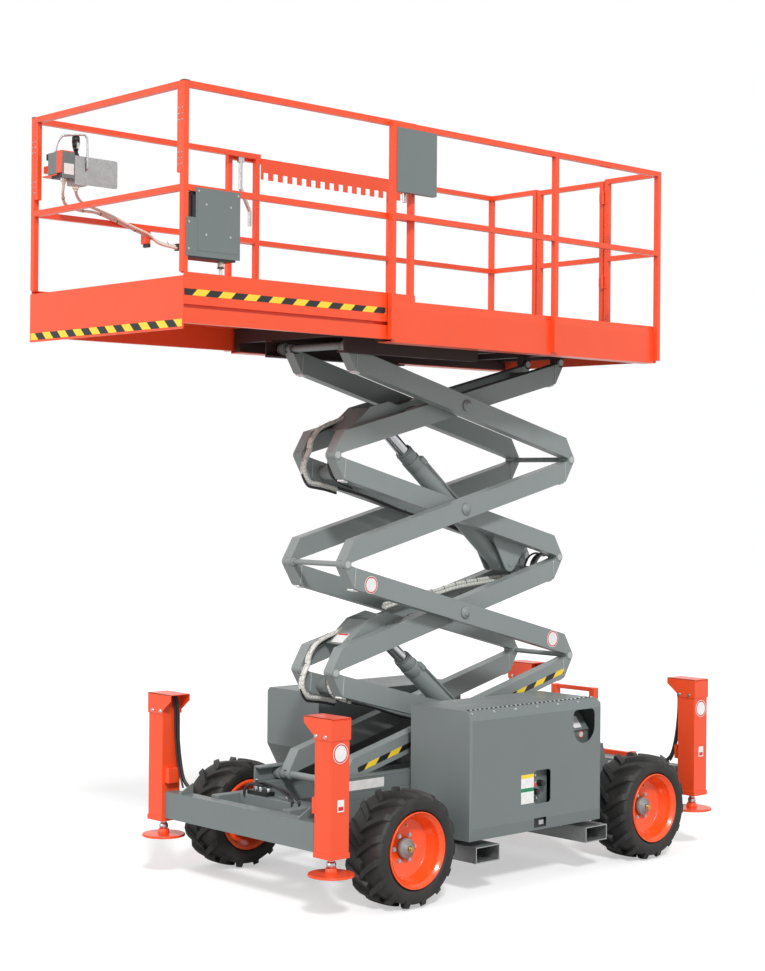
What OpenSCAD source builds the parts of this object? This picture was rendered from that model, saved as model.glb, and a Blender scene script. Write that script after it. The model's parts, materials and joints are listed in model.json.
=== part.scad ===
// Rough-terrain scissor lift with a roll-out platform and four levelling outriggers.
// Millimetres. +X is forward, +Y is the machine's left, +Z is up, the floor is z = 0.
// Lengths along X are given from the middle of the wheelbase; place() moves them to the
// middle of the machine's own length.

/* [Wheels and steering] */
// Distance between the front and the rear wheel centres
wheelbase = 2123; // [2050:1:2300]
// Radius of a tyre at the tips of its lugs
tyre_r = 330; // [310:1:340]
// Width of a tyre
tyre_w = 290; // [250:1:300]
// Distance of a tyre's middle plane from the centre line
tyre_y = 727; // [720:1:760]
// Radius of a rim's flanges
rim_r = 223; // [200:1:230]
// Radius of the rim's barrel, on which the tyre's beads sit
barrel_r = 170; // [160:1:185]
// Distance of a kingpin from the centre line
kingpin_y = 600; // [590:1:615]
// Radius of a kingpin
kingpin_r = 18; // [12:1:22]
// Distance of the tie rod's pins behind the kingpins
steer_arm = 85; // [80:1:90]

/* [Chassis] */
// Distance of a chassis rail's outer face from the centre line
rail_y = 350; // [345:1:360]
// Width of a chassis rail
rail_w = 64; // [60:1:64]
// Height of a chassis rail's underside above the floor
rail_z = 450; // [430:1:470]
// Height of a chassis rail's top above the floor
rail_top = 676; // [672:1:700]
// Thickness of a chassis rail's web beside the roller track
rail_web = 16; // [8:1:20]
// Distance of the outrigger beams from the middle of the wheelbase
outrigger_x = 1607; // [1600:1:1680]
// Distance of the outrigger columns from the centre line
outrigger_y = 748; // [740:1:800]
// Outer size of a square outrigger column
column_w = 134; // [126:1:150]
// Wall of an outrigger column
column_wall = 8; // [4:1:9]
// Height of a column's lower end above the floor
column_z = 345; // [330:1:380]
// Height of a column's upper end, under its cap
column_top = 950; // [900:1:1000]
// Height of a cap's top above the floor
cap_top = 1070; // [1040:1:1100]
// Height of an outrigger beam's underside above the floor
beam_z = 365; // [350:1:400]
// Height of an outrigger beam
beam_h = 158; // [120:1:170]
// Depth of an outrigger beam along the machine
beam_w = 90; // [70:1:100]
// Radius of a foot's pad
pad_r = 129; // [110:1:135]
// Height of a pad's upper face when the foot is drawn in
pad_z = 260; // [250:1:300]
// Thickness of a pad
pad_t = 24; // [12:1:30]
// Size of the square leg that slides in a column
leg_w = 106; // [90:1:106]

/* [Cabinets] */
// Distance of a cabinet's inner wall from the centre line
cabinet_in = 370; // [365:1:390]
// Distance of a door's outer face from the centre line
cabinet_out = 860; // [850:1:870]
// Height of a cabinet's floor above the ground
cabinet_z = 320; // [310:1:340]
// Height of a cabinet's top above the ground
cabinet_top = 1068; // [1040:1:1080]
// Front end of the left cabinet
left_front = 630; // [600:1:640]
// Front end of the right cabinet
right_front = 700; // [660:1:705]
// Rear end of both cabinets
cabinet_rear = -572; // [-600:1:-540]
// Thickness of the cabinets' sheet
sheet = 6; // [3:1:8]
// Depth of a door, from its outer face to its inner edge
door_d = 44; // [30:1:60]
// Width of a fork pocket along the machine
pocket_w = 200; // [180:1:220]
// Height of a fork pocket
pocket_h = 100; // [90:1:110]
// Distance of the fork pockets from the middle of the wheelbase
pocket_x = 490; // [420:1:520]

/* [Scissor] */
// Angle of the arms' pin lines to the floor, as the lift stands
lift_angle = 17.82; // [14:0.02:24]
// Distance between the two end pins of an arm
arm_length = 2085; // [2050:1:2100]
// Depth of an arm
arm_depth = 122; // [116:1:124]
// Width of an arm
arm_w = 76; // [70:1:78]
// Gap between two stacked arms when the lift is down
stow_gap = 6; // [6:1:8]
// Distance of the inner arms' inner faces from the centre line
inner_y = 106; // [104:1:110]
// Gap between an inner arm and the outer arm beside it
arm_gap = 18; // [12:1:20]
// Radius of the pins at the ends of the arms
pin_r = 22; // [16:1:24]
// Radius of the centre pins
centre_pin_r = 26; // [18:1:30]
// Radial clearance of a pin in its bore
pin_play = 0.6; // [0.3:0.1:1]
// Radius of the boss at an arm's lower end
boss_r = 40; // [36:1:41]
// Width of the boss at an arm's lower end
boss_w = 46; // [40:1:48]
// Thickness of the two ears at an arm's upper end
ear_t = 12; // [8:1:13]
// Distance from a pin to the full width of its arm
end_set = 68; // [68:1:80]
// Distance from a pin to the full depth of its arm
end_slope = 176; // [165:1:190]
// Position of the rear lower pins
base_pin_x = -920; // [-940:1:-900]
// Height of the lowest pins above the floor
base_pin_z = 625; // [615:1:628]
// Radius of the rollers at the sliding ends
roller_r = 38; // [34:1:38]

/* [Lift cylinders] */
// Distance of the rod's pin from its arm's lower pin, along the pin line
head_s = 530; // [520:1:540]
// Height of the rod's pin above its arm's pin line
head_n = 90; // [86:1:94]
// Distance of the barrel's pin from its arm's upper pin, along the pin line
base_s = 1727; // [1720:1:1735]
// Depth of the barrel's pin below its arm's pin line
base_n = 155; // [150:1:158]
// Outer radius of a barrel
cylinder_r = 57; // [50:1:60]
// Inner radius of a barrel
cylinder_bore = 46; // [40:1:48]
// Radius of a rod
rod_r = 30; // [24:1:34]
// Length of a barrel from its pin, as a share of the cylinder's reach
barrel_share = 0.7695; // [0.762:0.0005:0.772]
// Length of a rod from its eye, as a share of the cylinder's reach
rod_share = 0.7827; // [0.7815:0.0001:0.783]
// Turn of a cylinder below the line to its upper pin, which clears the deck when down
cylinder_dip = 0.63; // [0.5:0.01:0.8]
// Distance by which a rod's eye stops short of its upper pin
eye_short = 6.7; // [2:0.1:9]
// Radius of the eye at the rod's end
eye_r = 32; // [28:1:33]

/* [Platform] */
// Distance of the guard rails' outer faces from the centre line
deck_y = 742; // [736:1:760]
// Rear end of the platform
deck_rear = -1240; // [-1260:1:-1220]
// Front end of the fixed part of the platform
deck_front = 1180; // [1170:1:1200]
// Height of the side panels' underside above the upper pins
panel_drop = 10; // [6:1:16]
// Height of the side panels
panel_h = 237; // [220:1:250]
// Side of the square tube of the guard rails
tube = 32; // [25:1:34]
// Height of the guard rails' top above the upper pins
guard_top = 1225; // [1200:1:1240]
// Height of the middle rails' top above the upper pins
guard_mid = 712; // [690:1:730]
// Middle post of the side guard rails
mid_post_x = -236; // [-300:1:-200]
// Half width of the gate's opening
gate_half = 300; // [280:1:310]
// Height of the deck's underside above the upper pins
floor_h = 126; // [125:1:132]
// Thickness of a deck plate
plate = 6; // [4:1:6]

/* [Roll-out extension] */
// Front end of the extension as it stands rolled out
ext_front = 2618; // [2600:1:2640]
// Rear end of the extension as it stands rolled out
ext_rear = 955; // [950:1:980]
// Gap between the roll-out's sides and the panels
ext_gap = 6; // [5:1:10]
// Gap between the roll-out's sides and the deck
ext_clear = 18; // [12:1:24]
// Height of the extension's guard rails above the upper pins
ext_top = 1239; // [1225:1:1250]
// Height of the extension's side panels above the upper pins
ext_panel_top = 265; // [240:1:275]
// Running gap between the two decks
deck_gap = 5; // [5:1:6]

/* [Hidden] */
$fn = 64;

orange = [0.95, 0.36, 0.25];
grey = [0.50, 0.53, 0.53];
dark = [0.13, 0.13, 0.14];
steel = [0.75, 0.76, 0.78];

// Scissor geometry. An arm's pins lie pin_off outside its middle line, below it at the
// lower end and above it at the upper end, so the bodies lie flat when the lift is down.
pin_off = (arm_depth + stow_gap) / 2;
stow_angle = asin(2 * pin_off / arm_length);
half_len = arm_length * cos(stow_angle) / 2;
body_angle = lift_angle - stow_angle;
pitch = arm_length * sin(lift_angle);
span = arm_length * cos(lift_angle);
front_pin_x = base_pin_x + span;
mid_x = base_pin_x + span / 2;
outer_y = inner_y + arm_w + arm_gap;
outer_face = outer_y + arm_w;
function level(k) = base_pin_z + k * pitch;
top_z = level(4);

// Levels of the platform
panel_z = top_z - panel_drop;
floor_z = top_z + floor_h;
panel_y = deck_y - tube;
panel_t = 4;
ext_y = panel_y - panel_t - ext_gap;
deck_half = ext_y - tube - ext_clear;
member_h = floor_h - 50;
member_z = top_z + 50;
ext_floor_z = floor_z + plate + deck_gap;
ext_panel_z = panel_z + plate + 9;
side_rail_w = 50;

// Outriggers and the machine's length
pad_back = -outrigger_x - pad_r;
x_centre = (ext_front + pad_back) / 2;
axle_x = wheelbase / 2;
axle_z = tyre_r;
pocket_z = 180;
roller_y = outer_face + 12;
roller_w = 42;
track_clear = 2;

// ---- helpers ---------------------------------------------------------------------

module place() translate([-x_centre, 0, 0]) children();

module both_sides() {
    children();
    mirror([0, 1, 0]) children();
}

// A block given by its two opposite corners
module block(a, b) translate(a) cube(b - a);

// Round bars along the three axes, from one end to the other
module bar_y(x, z, r, y0, y1)
    translate([x, y0, z]) rotate([-90, 0, 0]) cylinder(r = r, h = y1 - y0);
module bar_x(y, z, r, x0, x1)
    translate([x0, y, z]) rotate([0, 90, 0]) cylinder(r = r, h = x1 - x0);
module bar_z(x, y, r, z0, z1) translate([x, y, z0]) cylinder(r = r, h = z1 - z0);

// An outline in (x, z) made thick from y0 to y1
module slab_y(y0, y1)
    translate([0, y1, 0]) rotate([90, 0, 0]) linear_extrude(height = y1 - y0) children();
// An outline in (y, z) made long from x0 to x1
module slab_x(x0, x1)
    translate([x0, 0, 0]) rotate([90, 0, 90]) linear_extrude(height = x1 - x0) children();

// Point where a line from p touches the circle round c, on the side s
function tangent(p, c, r, s) =
    let (d = p - c, a = atan2(d[1], d[0]) + s * acos(r / norm(d)))
    c + r * [cos(a), sin(a)];

// ---- chassis ---------------------------------------------------------------------

module chassis_rail() {
    slot_z = base_pin_z - roller_r - track_clear;
    slot_h = 2 * (roller_r + track_clear);
    difference() {
        block([-outrigger_x + beam_w / 2, rail_y - rail_w, rail_z],
              [outrigger_x - beam_w / 2, rail_y, rail_top]);
        block([60, rail_y - rail_w - 1, slot_z],
              [front_pin_x + 195, rail_y - rail_web, slot_z + slot_h]);
    }
}

// Ears on the rear cross member that carry the lowest inner arms, with their pins
module base_ears() {
    for (y = [inner_y, inner_y + arm_w - ear_t]) {
        slab_y(y, y + ear_t) {
            translate([base_pin_x, base_pin_z]) circle(r = boss_r + 2);
            translate([base_pin_x - boss_r - 2, base_pin_z - 70]) square([2 * boss_r + 4, 70]);
        }
    }
    bar_y(base_pin_x, base_pin_z, pin_r, inner_y - 8, inner_y + arm_w + 8);
}

module chassis_frame() color(grey) {
    inner = rail_y - rail_w;
    both_sides() {
        chassis_rail();
        base_ears();
        for (x = [-pocket_x, pocket_x]) {
            block([x - 30, rail_y, rail_z + 40], [x + 30, cabinet_in, rail_z + 140]);
            block([x - 40, inner, pocket_z + pocket_h], [x + 40, rail_y, rail_z]);
        }
        for (x = [-axle_x, axle_x]) {
            block([x - 60, inner, axle_z + 60], [x + 60, rail_y, rail_z]);
        }
    }
    block([base_pin_x - 80, -inner, rail_z], [base_pin_x + 60, inner, base_pin_z - 60]);
    block([axle_x + 228, -inner, rail_z], [axle_x + 338, inner, rail_z + 130]);
    block([-axle_x - 418, -inner, rail_z], [-axle_x - 338, inner, rail_z + 160]);
}

module outrigger_beam() {
    inner = outrigger_y - column_w / 2;
    block([-beam_w / 2, -inner, beam_z], [beam_w / 2, inner, beam_z + beam_h]);
    both_sides() slab_y(inner - 160, inner - 150)
        polygon([[-beam_w / 2, beam_z + beam_h], [beam_w / 2, beam_z + beam_h],
                 [beam_w / 2, beam_z + beam_h + 12], [-beam_w / 2, beam_z + beam_h + 60]]);
    both_sides() block([-beam_w / 2, rail_y - rail_w, rail_z],
                       [-beam_w / 2 + 4, rail_y, beam_z + beam_h]);
}

module front_beam() color(grey) translate([outrigger_x, 0, 0]) outrigger_beam();
module rear_beam() color(grey) translate([-outrigger_x, 0, 0]) mirror([1, 0, 0]) outrigger_beam();

module at_outriggers() {
    for (x = [-outrigger_x, outrigger_x]) {
        for (y = [-outrigger_y, outrigger_y]) {
            translate([x, y, 0]) mirror([x < 0 ? 1 : 0, 0, 0]) mirror([0, y < 0 ? 1 : 0, 0])
                children();
        }
    }
}

module outrigger_columns() color(orange) at_outriggers() difference() {
    half = column_w / 2;
    slab_y(-half, half)
        polygon([[-half, column_z + 40], [-half, column_top], [half, column_top],
                 [half, column_z], [-half + 40, column_z]]);
    bore = half - column_wall;
    slide = leg_w / 2 + 0.3;
    block([-slide, -slide, column_z - 1], [slide, slide, column_top - column_wall]);
    block([-bore, -bore, column_z + 90], [bore, bore, column_top - column_wall]);
}

// Cap: a folded box with slanted sides, wider than its column
module outrigger_caps() color(orange) at_outriggers() {
    half = column_w / 2;
    lip = 22;
    slab_y(-half - 6, half + lip)
        polygon([[-half - lip, cap_top], [half + lip, cap_top], [half + lip, cap_top - 60],
                 [half, column_top], [-half, column_top], [-half - lip, cap_top - 90]]);
}

module fork_pockets() color(grey) for (x = [-pocket_x, pocket_x]) difference() {
    out = tyre_y + 100;
    block([x - pocket_w / 2, -out, pocket_z], [x + pocket_w / 2, out, pocket_z + pocket_h]);
    block([x - pocket_w / 2 + sheet, -out - 1, pocket_z + sheet],
          [x + pocket_w / 2 - sheet, out + 1, pocket_z + pocket_h - sheet]);
}

// ---- axles, knuckles and wheels ----------------------------------------------------

hub_y = tyre_y + 18;
motor_y = 700;
spindle_r = 25;

module front_axle() color(grey) translate([axle_x, 0, axle_z]) {
    difference() {
        union() {
            block([-55, -kingpin_y, -50], [55, kingpin_y, 60]);
            both_sides() bar_z(0, kingpin_y, 42, -50, 60);
        }
        both_sides() {
            bar_z(0, kingpin_y, kingpin_r + pin_play, -60, 70);
            block([-70, kingpin_y - 60, 50], [70, kingpin_y + 60, 70]);
        }
    }
}

module rear_axle() color(grey) translate([-axle_x, 0, axle_z]) both_sides() {
    bar_y(0, 0, 52, -1, motor_y - 60);
    bar_y(0, 0, 80, motor_y - 60, motor_y);
    bar_y(0, 0, spindle_r, motor_y, hub_y + 40);
    block([-50, rail_y - rail_w, 0], [50, rail_y, 60]);
}

// Left knuckle, about its kingpin: two cheeks, the wheel motor and the steering arm
module knuckle() {
    gap = 5;
    bar_z(0, 0, kingpin_r, -50 - gap - 16, 50 + gap + 16);
    for (z = [-50 - gap - 16, 50 + gap]) {
        block([-34, 0, z], [34, 78, z + 16]);
        bar_z(0, 0, 34, z, z + 16);
    }
    block([-40, 55, -71], [40, 72, 71]);
    bar_y(0, 0, 80, 72, motor_y - kingpin_y);
    bar_y(0, 0, spindle_r, motor_y - kingpin_y, hub_y - kingpin_y + 40);
    block([-steer_arm, -18, -71], [-20, 18, -55]);
    bar_z(-steer_arm, 0, 20, -71, -55);
}

module at_kingpin(s) translate([axle_x, s * kingpin_y, axle_z]) mirror([0, s < 0 ? 1 : 0, 0])
    children();

module knuckle_bored() difference() {
    knuckle();
    bar_z(-steer_arm, 0, 9 + pin_play, -80, -50);
}
module knuckle_left() color(grey) at_kingpin(1) knuckle_bored();
module knuckle_right() color(grey) at_kingpin(-1) knuckle_bored();

module tie_rod() color(steel) translate([axle_x - steer_arm, 0, axle_z - 71 - 14])
    both_sides() {
        bar_y(0, 0, 11, 0, kingpin_y - 12);
        bar_z(0, kingpin_y, 18, -12, 12);
        bar_z(0, kingpin_y, 9, 10, 32);
    }

// Tyre about its own middle, turning about Y, with its outer side at +Y
module tyre() {
    half = tyre_w / 2;
    rotate([-90, 0, 0]) rotate_extrude($fn = 96)
        polygon([[barrel_r, -half + 25], [rim_r, -half + 17], [rim_r + 9, -half],
                 [tyre_r - 38, -half], [tyre_r, -half + 30], [tyre_r, half - 30],
                 [tyre_r - 38, half], [rim_r + 9, half], [rim_r, half - 17],
                 [barrel_r, half - 25]]);
}

// Rim: barrel with two flanges and a deep-set hub disc
module rim() {
    half = tyre_w / 2;
    lip = half - 2;
    rotate([-90, 0, 0]) difference() {
        rotate_extrude($fn = 96)
            polygon([[barrel_r, -half + 17], [rim_r, -half + 17], [rim_r, -half + 9],
                     [barrel_r - 8, -half + 9], [barrel_r - 8, 26], [110, 26], [92, 18],
                     [spindle_r + pin_play, 18], [spindle_r + pin_play, 28], [86, 28],
                     [104, 34], [barrel_r - 8, 34], [barrel_r - 8, half - 9],
                     [rim_r - 8, half - 9], [rim_r - 8, lip], [rim_r, lip],
                     [rim_r, half - 17], [barrel_r, half - 17]]);
        for (a = [0:60:300]) {
            rotate([0, 0, a + 30]) translate([130, 0, 20]) cylinder(r = 12, h = 20);
        }
    }
}

module at_wheel(sx, sy) translate([sx * axle_x, sy * tyre_y, axle_z])
    mirror([0, sy < 0 ? 1 : 0, 0]) children();

module tyre_front_left() color(dark) at_wheel(1, 1) tyre();
module tyre_front_right() color(dark) at_wheel(1, -1) tyre();
module tyre_rear_left() color(dark) at_wheel(-1, 1) tyre();
module tyre_rear_right() color(dark) at_wheel(-1, -1) tyre();
module rim_front_left() color(orange) at_wheel(1, 1) rim();
module rim_front_right() color(orange) at_wheel(1, -1) rim();
module rim_rear_left() color(orange) at_wheel(-1, 1) rim();
module rim_rear_right() color(orange) at_wheel(-1, -1) rim();

// ---- outrigger feet ----------------------------------------------------------------

module foot() {
    half = leg_w / 2;
    leg_top = column_top - column_wall - 12;
    bar_z(0, 0, pad_r, pad_z - pad_t, pad_z);
    bar_z(0, 0, 62, pad_z, pad_z + 30);
    block([-half, -half, pad_z + 30], [half, half, leg_top]);
}

module at_outrigger(sx, sy) translate([sx * outrigger_x, sy * outrigger_y, 0]) children();
module foot_front_left() color(orange) at_outrigger(1, 1) foot();
module foot_front_right() color(orange) at_outrigger(1, -1) foot();
module foot_rear_left() color(orange) at_outrigger(-1, 1) foot();
module foot_rear_right() color(orange) at_outrigger(-1, -1) foot();

// ---- cabinets ----------------------------------------------------------------------

// Side outline of a cabinet, cut back at its lower front corner by cut
module cabinet_outline(front, cut, inset = 0) {
    rear = cabinet_rear + inset;
    low = cabinet_z + inset;
    high = cabinet_top - inset;
    face = front - inset;
    polygon([[rear, low], [face - cut, low], [face - cut, low + 240],
             [face, low + 390], [face, high], [rear + 60, high], [rear, high - 60]]);
}

// Tub of the left cabinet: open to the outside, where its door closes it
module cabinet_tub(front, cut) difference() {
    slab_y(cabinet_in, cabinet_out - door_d) cabinet_outline(front, cut);
    slab_y(cabinet_in + sheet, cabinet_out) cabinet_outline(front, cut, sheet);
}

// Door: a tray with a chamfered upper and lower edge
module cabinet_door(front, cut) {
    difference() {
        slab_y(cabinet_out - door_d + 0.3, cabinet_out) cabinet_outline(front, cut);
        slab_y(cabinet_out - door_d, cabinet_out - sheet) cabinet_outline(front, cut, sheet);
        for (z = [cabinet_z, cabinet_top]) {
            s = z == cabinet_z ? 1 : -1;
            slab_x(cabinet_rear - 1, front + 1)
                polygon([[cabinet_out + 1, z - s], [cabinet_out - 22, z - s],
                         [cabinet_out + 1, z + s * 24]]);
        }
    }
}

module cabinet_left() color(grey) cabinet_tub(left_front, 0);
module cabinet_right() color(grey) mirror([0, 1, 0]) cabinet_tub(right_front, 90);
module door_left() color(grey) difference() {
    cabinet_door(left_front, 0);
    slab_y(cabinet_out - door_d, cabinet_out + 1) {
        translate([-370, 905]) circle(r = 90);
        translate([-370, 815]) square([90, 180]);
    }
    slab_y(cabinet_out - door_d, cabinet_out + 1)
        translate([-70, 480]) square([150, 200]);
}
module door_right() color(grey) mirror([0, 1, 0]) cabinet_door(right_front, 90);

module engine() color(dark)
    block([-400, -cabinet_in - 380, cabinet_z + sheet],
          [300, -cabinet_in - 60, cabinet_top - 160]);
module fluid_tank() color(dark)
    block([150, cabinet_in + 40, cabinet_z + sheet],
          [560, cabinet_out - door_d - 60, cabinet_top - 200]);
module base_controls() color(dark)
    block([-80, cabinet_in + sheet, 470], [90, cabinet_out - door_d - 10, 690]);

// Ladder at the rear, between the outriggers
module entry_ladder() color(orange) {
    x = -outrigger_x - beam_w / 2;
    both_sides() {
        block([x - 40, 190, 330], [x, 222, 960]);
        block([x - 40, 160, 930], [x + 330, 222, 962]);
    }
    for (z = [340, 600, 860]) block([x - 40, -190, z], [x - 8, 190, z + 30]);
}

// ---- scissor -----------------------------------------------------------------------

// Full-width body of an arm in its own frame: x along the arm, z across it
module arm_body() {
    d = arm_depth / 2;
    polygon([[-half_len + end_set, -d], [half_len - end_slope, -d],
             [half_len - end_set, d], [-half_len + end_slope, d]]);
}

// Outline of an arm's lower end: a round head of radius r blended into the body
module arm_end(r) {
    d = arm_depth / 2;
    pin = [-half_len, -pin_off];
    upper = [-half_len + end_slope, d];
    lower = [-half_len + end_set, -d];
    translate(pin) circle(r = r);
    polygon([pin, tangent(upper, pin, r, 1), upper, upper + [60, -4], lower + [60, 4],
             lower, tangent(lower, pin, r, -1)]);
}

// One arm with its inner face at y: boss at the lower end, ears and pin at the upper
module arm(y, bored = true) {
    middle = y + arm_w / 2;
    difference() {
        union() {
            slab_y(y, y + arm_w) arm_body();
            slab_y(middle - boss_w / 2, middle + boss_w / 2) arm_end(boss_r);
            for (e = [y, y + arm_w - ear_t]) {
                slab_y(e, e + ear_t) rotate([0, 0, 180]) arm_end(boss_r + 2);
            }
            bar_y(half_len, pin_off, pin_r, y, y + arm_w);
        }
        if (bored) bar_y(-half_len, -pin_off, pin_r + pin_play, y - 1, y + arm_w + 1);
    }
}

// Places an arm of stage k, counted from the top; every other one is turned round
module in_stage(k, forward)
    translate([mid_x, 0, level(4 - k) + pitch / 2]) mirror([forward ? 0 : 1, 0, 0])
        rotate([0, -body_angle, 0]) children();

plate_y = inner_y - 20;
plate_t = 12;
function head_pin() =
    [-half_len + head_s * cos(stow_angle) - head_n * sin(stow_angle),
     -pin_off + head_s * sin(stow_angle) + head_n * cos(stow_angle)];
function base_pin() =
    [half_len - base_s * cos(stow_angle) + base_n * sin(stow_angle),
     pin_off - base_s * sin(stow_angle) - base_n * cos(stow_angle)];

// Peaked plates that hold the rod's eye between the two inner arms
module crosshead() {
    d = arm_depth / 2;
    h = head_pin();
    both_sides() {
        slab_y(plate_y, plate_y + plate_t)
            polygon([[h[0] - 375, d - 30], [h[0] - 195, d + 75], [h[0] + 36, d + 75],
                     [h[0] + 195, d], [h[0] + 60, -d + 40], [h[0] - 60, -d + 40]]);
        slab_y(plate_y + plate_t - 1, inner_y + 1)
            polygon([[h[0] - 330, d - 24], [h[0] + 180, d - 8], [h[0] + 60, -d + 44],
                     [h[0] - 60, -d + 44]]);
        bar_y(h[0], h[1], 46, plate_y - 8, plate_y + 1);
    }
    slab_y(-plate_y - 1, plate_y + 1)
        polygon([[h[0] - 372, d - 26], [h[0] - 252, d + 44], [h[0] - 248, d + 37],
                 [h[0] - 368, d - 33]]);
}

// Plates that hang below the inner arms and hold the barrel's pin
module hanger() {
    d = arm_depth / 2;
    b = base_pin();
    both_sides() {
        slab_y(plate_y, plate_y + plate_t) {
            translate(b) circle(r = 50);
            polygon([[b[0] - 40, -d + 30], [b[0] + 190, -d + 30], [b[0] + 190, -d - 20],
                     [b[0] + 40, b[1] - 30], [b[0], b[1] - 50], [b[0] - 50, b[1]],
                     [b[0] - 110, -d - 10], [b[0] - 110, -d + 30]]);
        }
        slab_y(plate_y + plate_t - 1, inner_y + 1)
            polygon([[b[0] - 100, -d + 2], [b[0] + 180, -d + 2], [b[0] + 180, -d + 28],
                     [b[0] - 100, -d + 28]]);
    }
    bar_y(b[0], b[1], 20, -plate_y - plate_t - 6, plate_y + plate_t + 6);
}

tube_set = 165;
centre_head_r = 36;

// Pair of inner arms of one stage, with the centre pins and two cross tubes
module inner_pair(top_bored = false) {
    both_sides() {
        arm(inner_y);
        bar_y(0, 0, centre_pin_r, inner_y + arm_w - 2, outer_face + 2);
        bar_y(0, 0, centre_head_r, outer_face + 1, outer_face + 5);
    }
    for (u = [-half_len + tube_set, half_len - tube_set])
        bar_y(u, 0, 42, -inner_y - 1, inner_y + 1);
}

// Pair of outer arms of one stage, bored for the centre pins
module outer_pair(bored = true) {
    both_sides() difference() {
        arm(outer_y, bored);
        bar_y(0, 0, centre_pin_r + pin_play, outer_y - 1, outer_face + 1);
    }
    bar_y(half_len, pin_off, 16, -outer_y - 1, outer_y + 1);
}

// Axle and rollers of a sliding end, at the pin p
module slide_axle(p) {
    bar_y(p[0], p[1], pin_r, -roller_y - 1, roller_y + 1);
    both_sides() bar_y(p[0], p[1], roller_r, roller_y, roller_y + roller_w);
}

module inner_arms_1() color(grey) in_stage(1, false) {
    inner_pair();
    crosshead();
}
module inner_arms_2() color(grey) in_stage(2, true) {
    inner_pair();
    hanger();
}
module inner_arms_3() color(grey) in_stage(3, false) {
    inner_pair();
    crosshead();
}
module inner_arms_4() color(grey) in_stage(4, true) {
    inner_pair();
    hanger();
}
module outer_arms_1() color(grey) in_stage(1, true) {
    outer_pair();
    slide_axle([half_len, pin_off]);
}
module outer_arms_2() color(grey) in_stage(2, false) outer_pair();
module outer_arms_3() color(grey) in_stage(3, true) outer_pair();
module outer_arms_4() color(grey) in_stage(4, false) {
    outer_pair(false);
    slide_axle([-half_len, -pin_off]);
}

// ---- lift cylinders ----------------------------------------------------------------

// Place of a point p of an arm, from the middle of its stage
function stage_point(p, way) =
    [way * (p[0] * cos(body_angle) - p[1] * sin(body_angle)),
     p[0] * sin(body_angle) + p[1] * cos(body_angle)];
cylinder_line = stage_point(head_pin(), -1) + [0, pitch] - stage_point(base_pin(), 1);
cylinder_angle = atan2(cylinder_line[1], cylinder_line[0]) - cylinder_dip;
cylinder_reach = norm(cylinder_line) - eye_short;
cylinder_len = cylinder_reach * barrel_share;
rod_len = cylinder_reach * rod_share;

// Moves to the barrel's pin on the inner arms of stage k, x along the cylinder
module at_cylinder(k) {
    b = stage_point(base_pin(), 1);
    translate([mid_x + b[0], 0, level(4 - k) + pitch / 2 + b[1]])
        rotate([0, -cylinder_angle, 0]) children();
}

module barrel() difference() {
    union() {
        bar_y(0, 0, 46, -50, 50);
        bar_x(0, 0, cylinder_r, 30, cylinder_len);
        bar_x(0, 0, cylinder_r + 5, cylinder_len - 60, cylinder_len - 20);
    }
    bar_y(0, 0, 20 + pin_play, -51, 51);
    bar_x(0, 0, cylinder_bore, 60, cylinder_len - 40);
    bar_x(0, 0, rod_r + pin_play, cylinder_len - 41, cylinder_len + 1);
}

module rod() translate([cylinder_reach, 0, 0]) {
    bar_x(0, 0, rod_r, -rod_len, 0);
    bar_x(0, 0, cylinder_bore - pin_play, -rod_len, -rod_len + 30);
    bar_y(0, 0, eye_r, -34, 34);
    bar_y(0, 0, 20, -64, 64);
}

module barrel_upper() color(grey) at_cylinder(2) barrel();
module barrel_lower() color(grey) at_cylinder(4) barrel();
module rod_upper() color(steel) at_cylinder(2) rod();
module rod_lower() color(steel) at_cylinder(4) rod();

// ---- platform ----------------------------------------------------------------------

member_x = [-1220, -960, -500, -120, 190, 1110];
member_w = 60;

// Roller track of the platform, open to the inside
module platform_track() {
    flange = 10;
    clear = roller_r + track_clear;
    slab_x(60, front_pin_x + 110) difference() {
        translate([outer_face + 10, top_z - clear - flange])
            square([roller_w + 24, 2 * (clear + flange)]);
        translate([outer_face + 9, top_z - clear]) square([roller_w + 15, 2 * clear]);
    }
}

// Lugs under the deck that take the pins of the top inner arms
module platform_lug() {
    middle = inner_y + arm_w / 2;
    difference() {
        slab_y(middle - boss_w / 2, middle + boss_w / 2) {
            translate([base_pin_x, top_z]) circle(r = boss_r);
            translate([base_pin_x - boss_r, top_z]) square([2 * boss_r, 55]);
        }
        bar_y(base_pin_x, top_z, pin_r + pin_play, middle - boss_w, middle + boss_w);
    }
}

module platform_deck() color(dark) {
    for (x = member_x)
        block([x, -deck_half, member_z], [x + member_w, deck_half, floor_z]);
    both_sides() {
        block([deck_rear + 4, deck_half - side_rail_w, panel_z + plate],
              [deck_front - 10, deck_half, floor_z]);
        platform_track();
        platform_lug();
    }
    block([deck_rear + 4, -deck_half, floor_z], [deck_front, deck_half, floor_z + plate]);
}

// Side panel: an upper sheet set in, a seam and a lower channel
module side_panel() slab_x(deck_rear, deck_front - tube) {
    y = panel_y;
    polygon([[y - 4, panel_z + 94], [y - 4, panel_z + panel_h - 46],
             [y - 10, panel_z + panel_h], [y - 6, panel_z + panel_h],
             [y, panel_z + panel_h - 46], [y, panel_z + 94]]);
    translate([y - 4, panel_z]) square([4, 96]);
    translate([deck_half - side_rail_w, panel_z]) square([y - deck_half + side_rail_w, plate]);
}
module side_panel_left() color(orange) side_panel();
module side_panel_right() color(orange) mirror([0, 1, 0]) side_panel();

module rear_panel() color(orange) {
    block([deck_rear, -panel_y + 4, panel_z + plate], [deck_rear + 4, panel_y - 4, floor_z + plate]);
    both_sides() block([deck_rear, gate_half + tube, floor_z + plate],
                       [deck_rear + 4, panel_y - 10, panel_z + panel_h]);
}

rail_top_z = top_z + guard_top;
mid_top_z = top_z + guard_mid;

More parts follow.
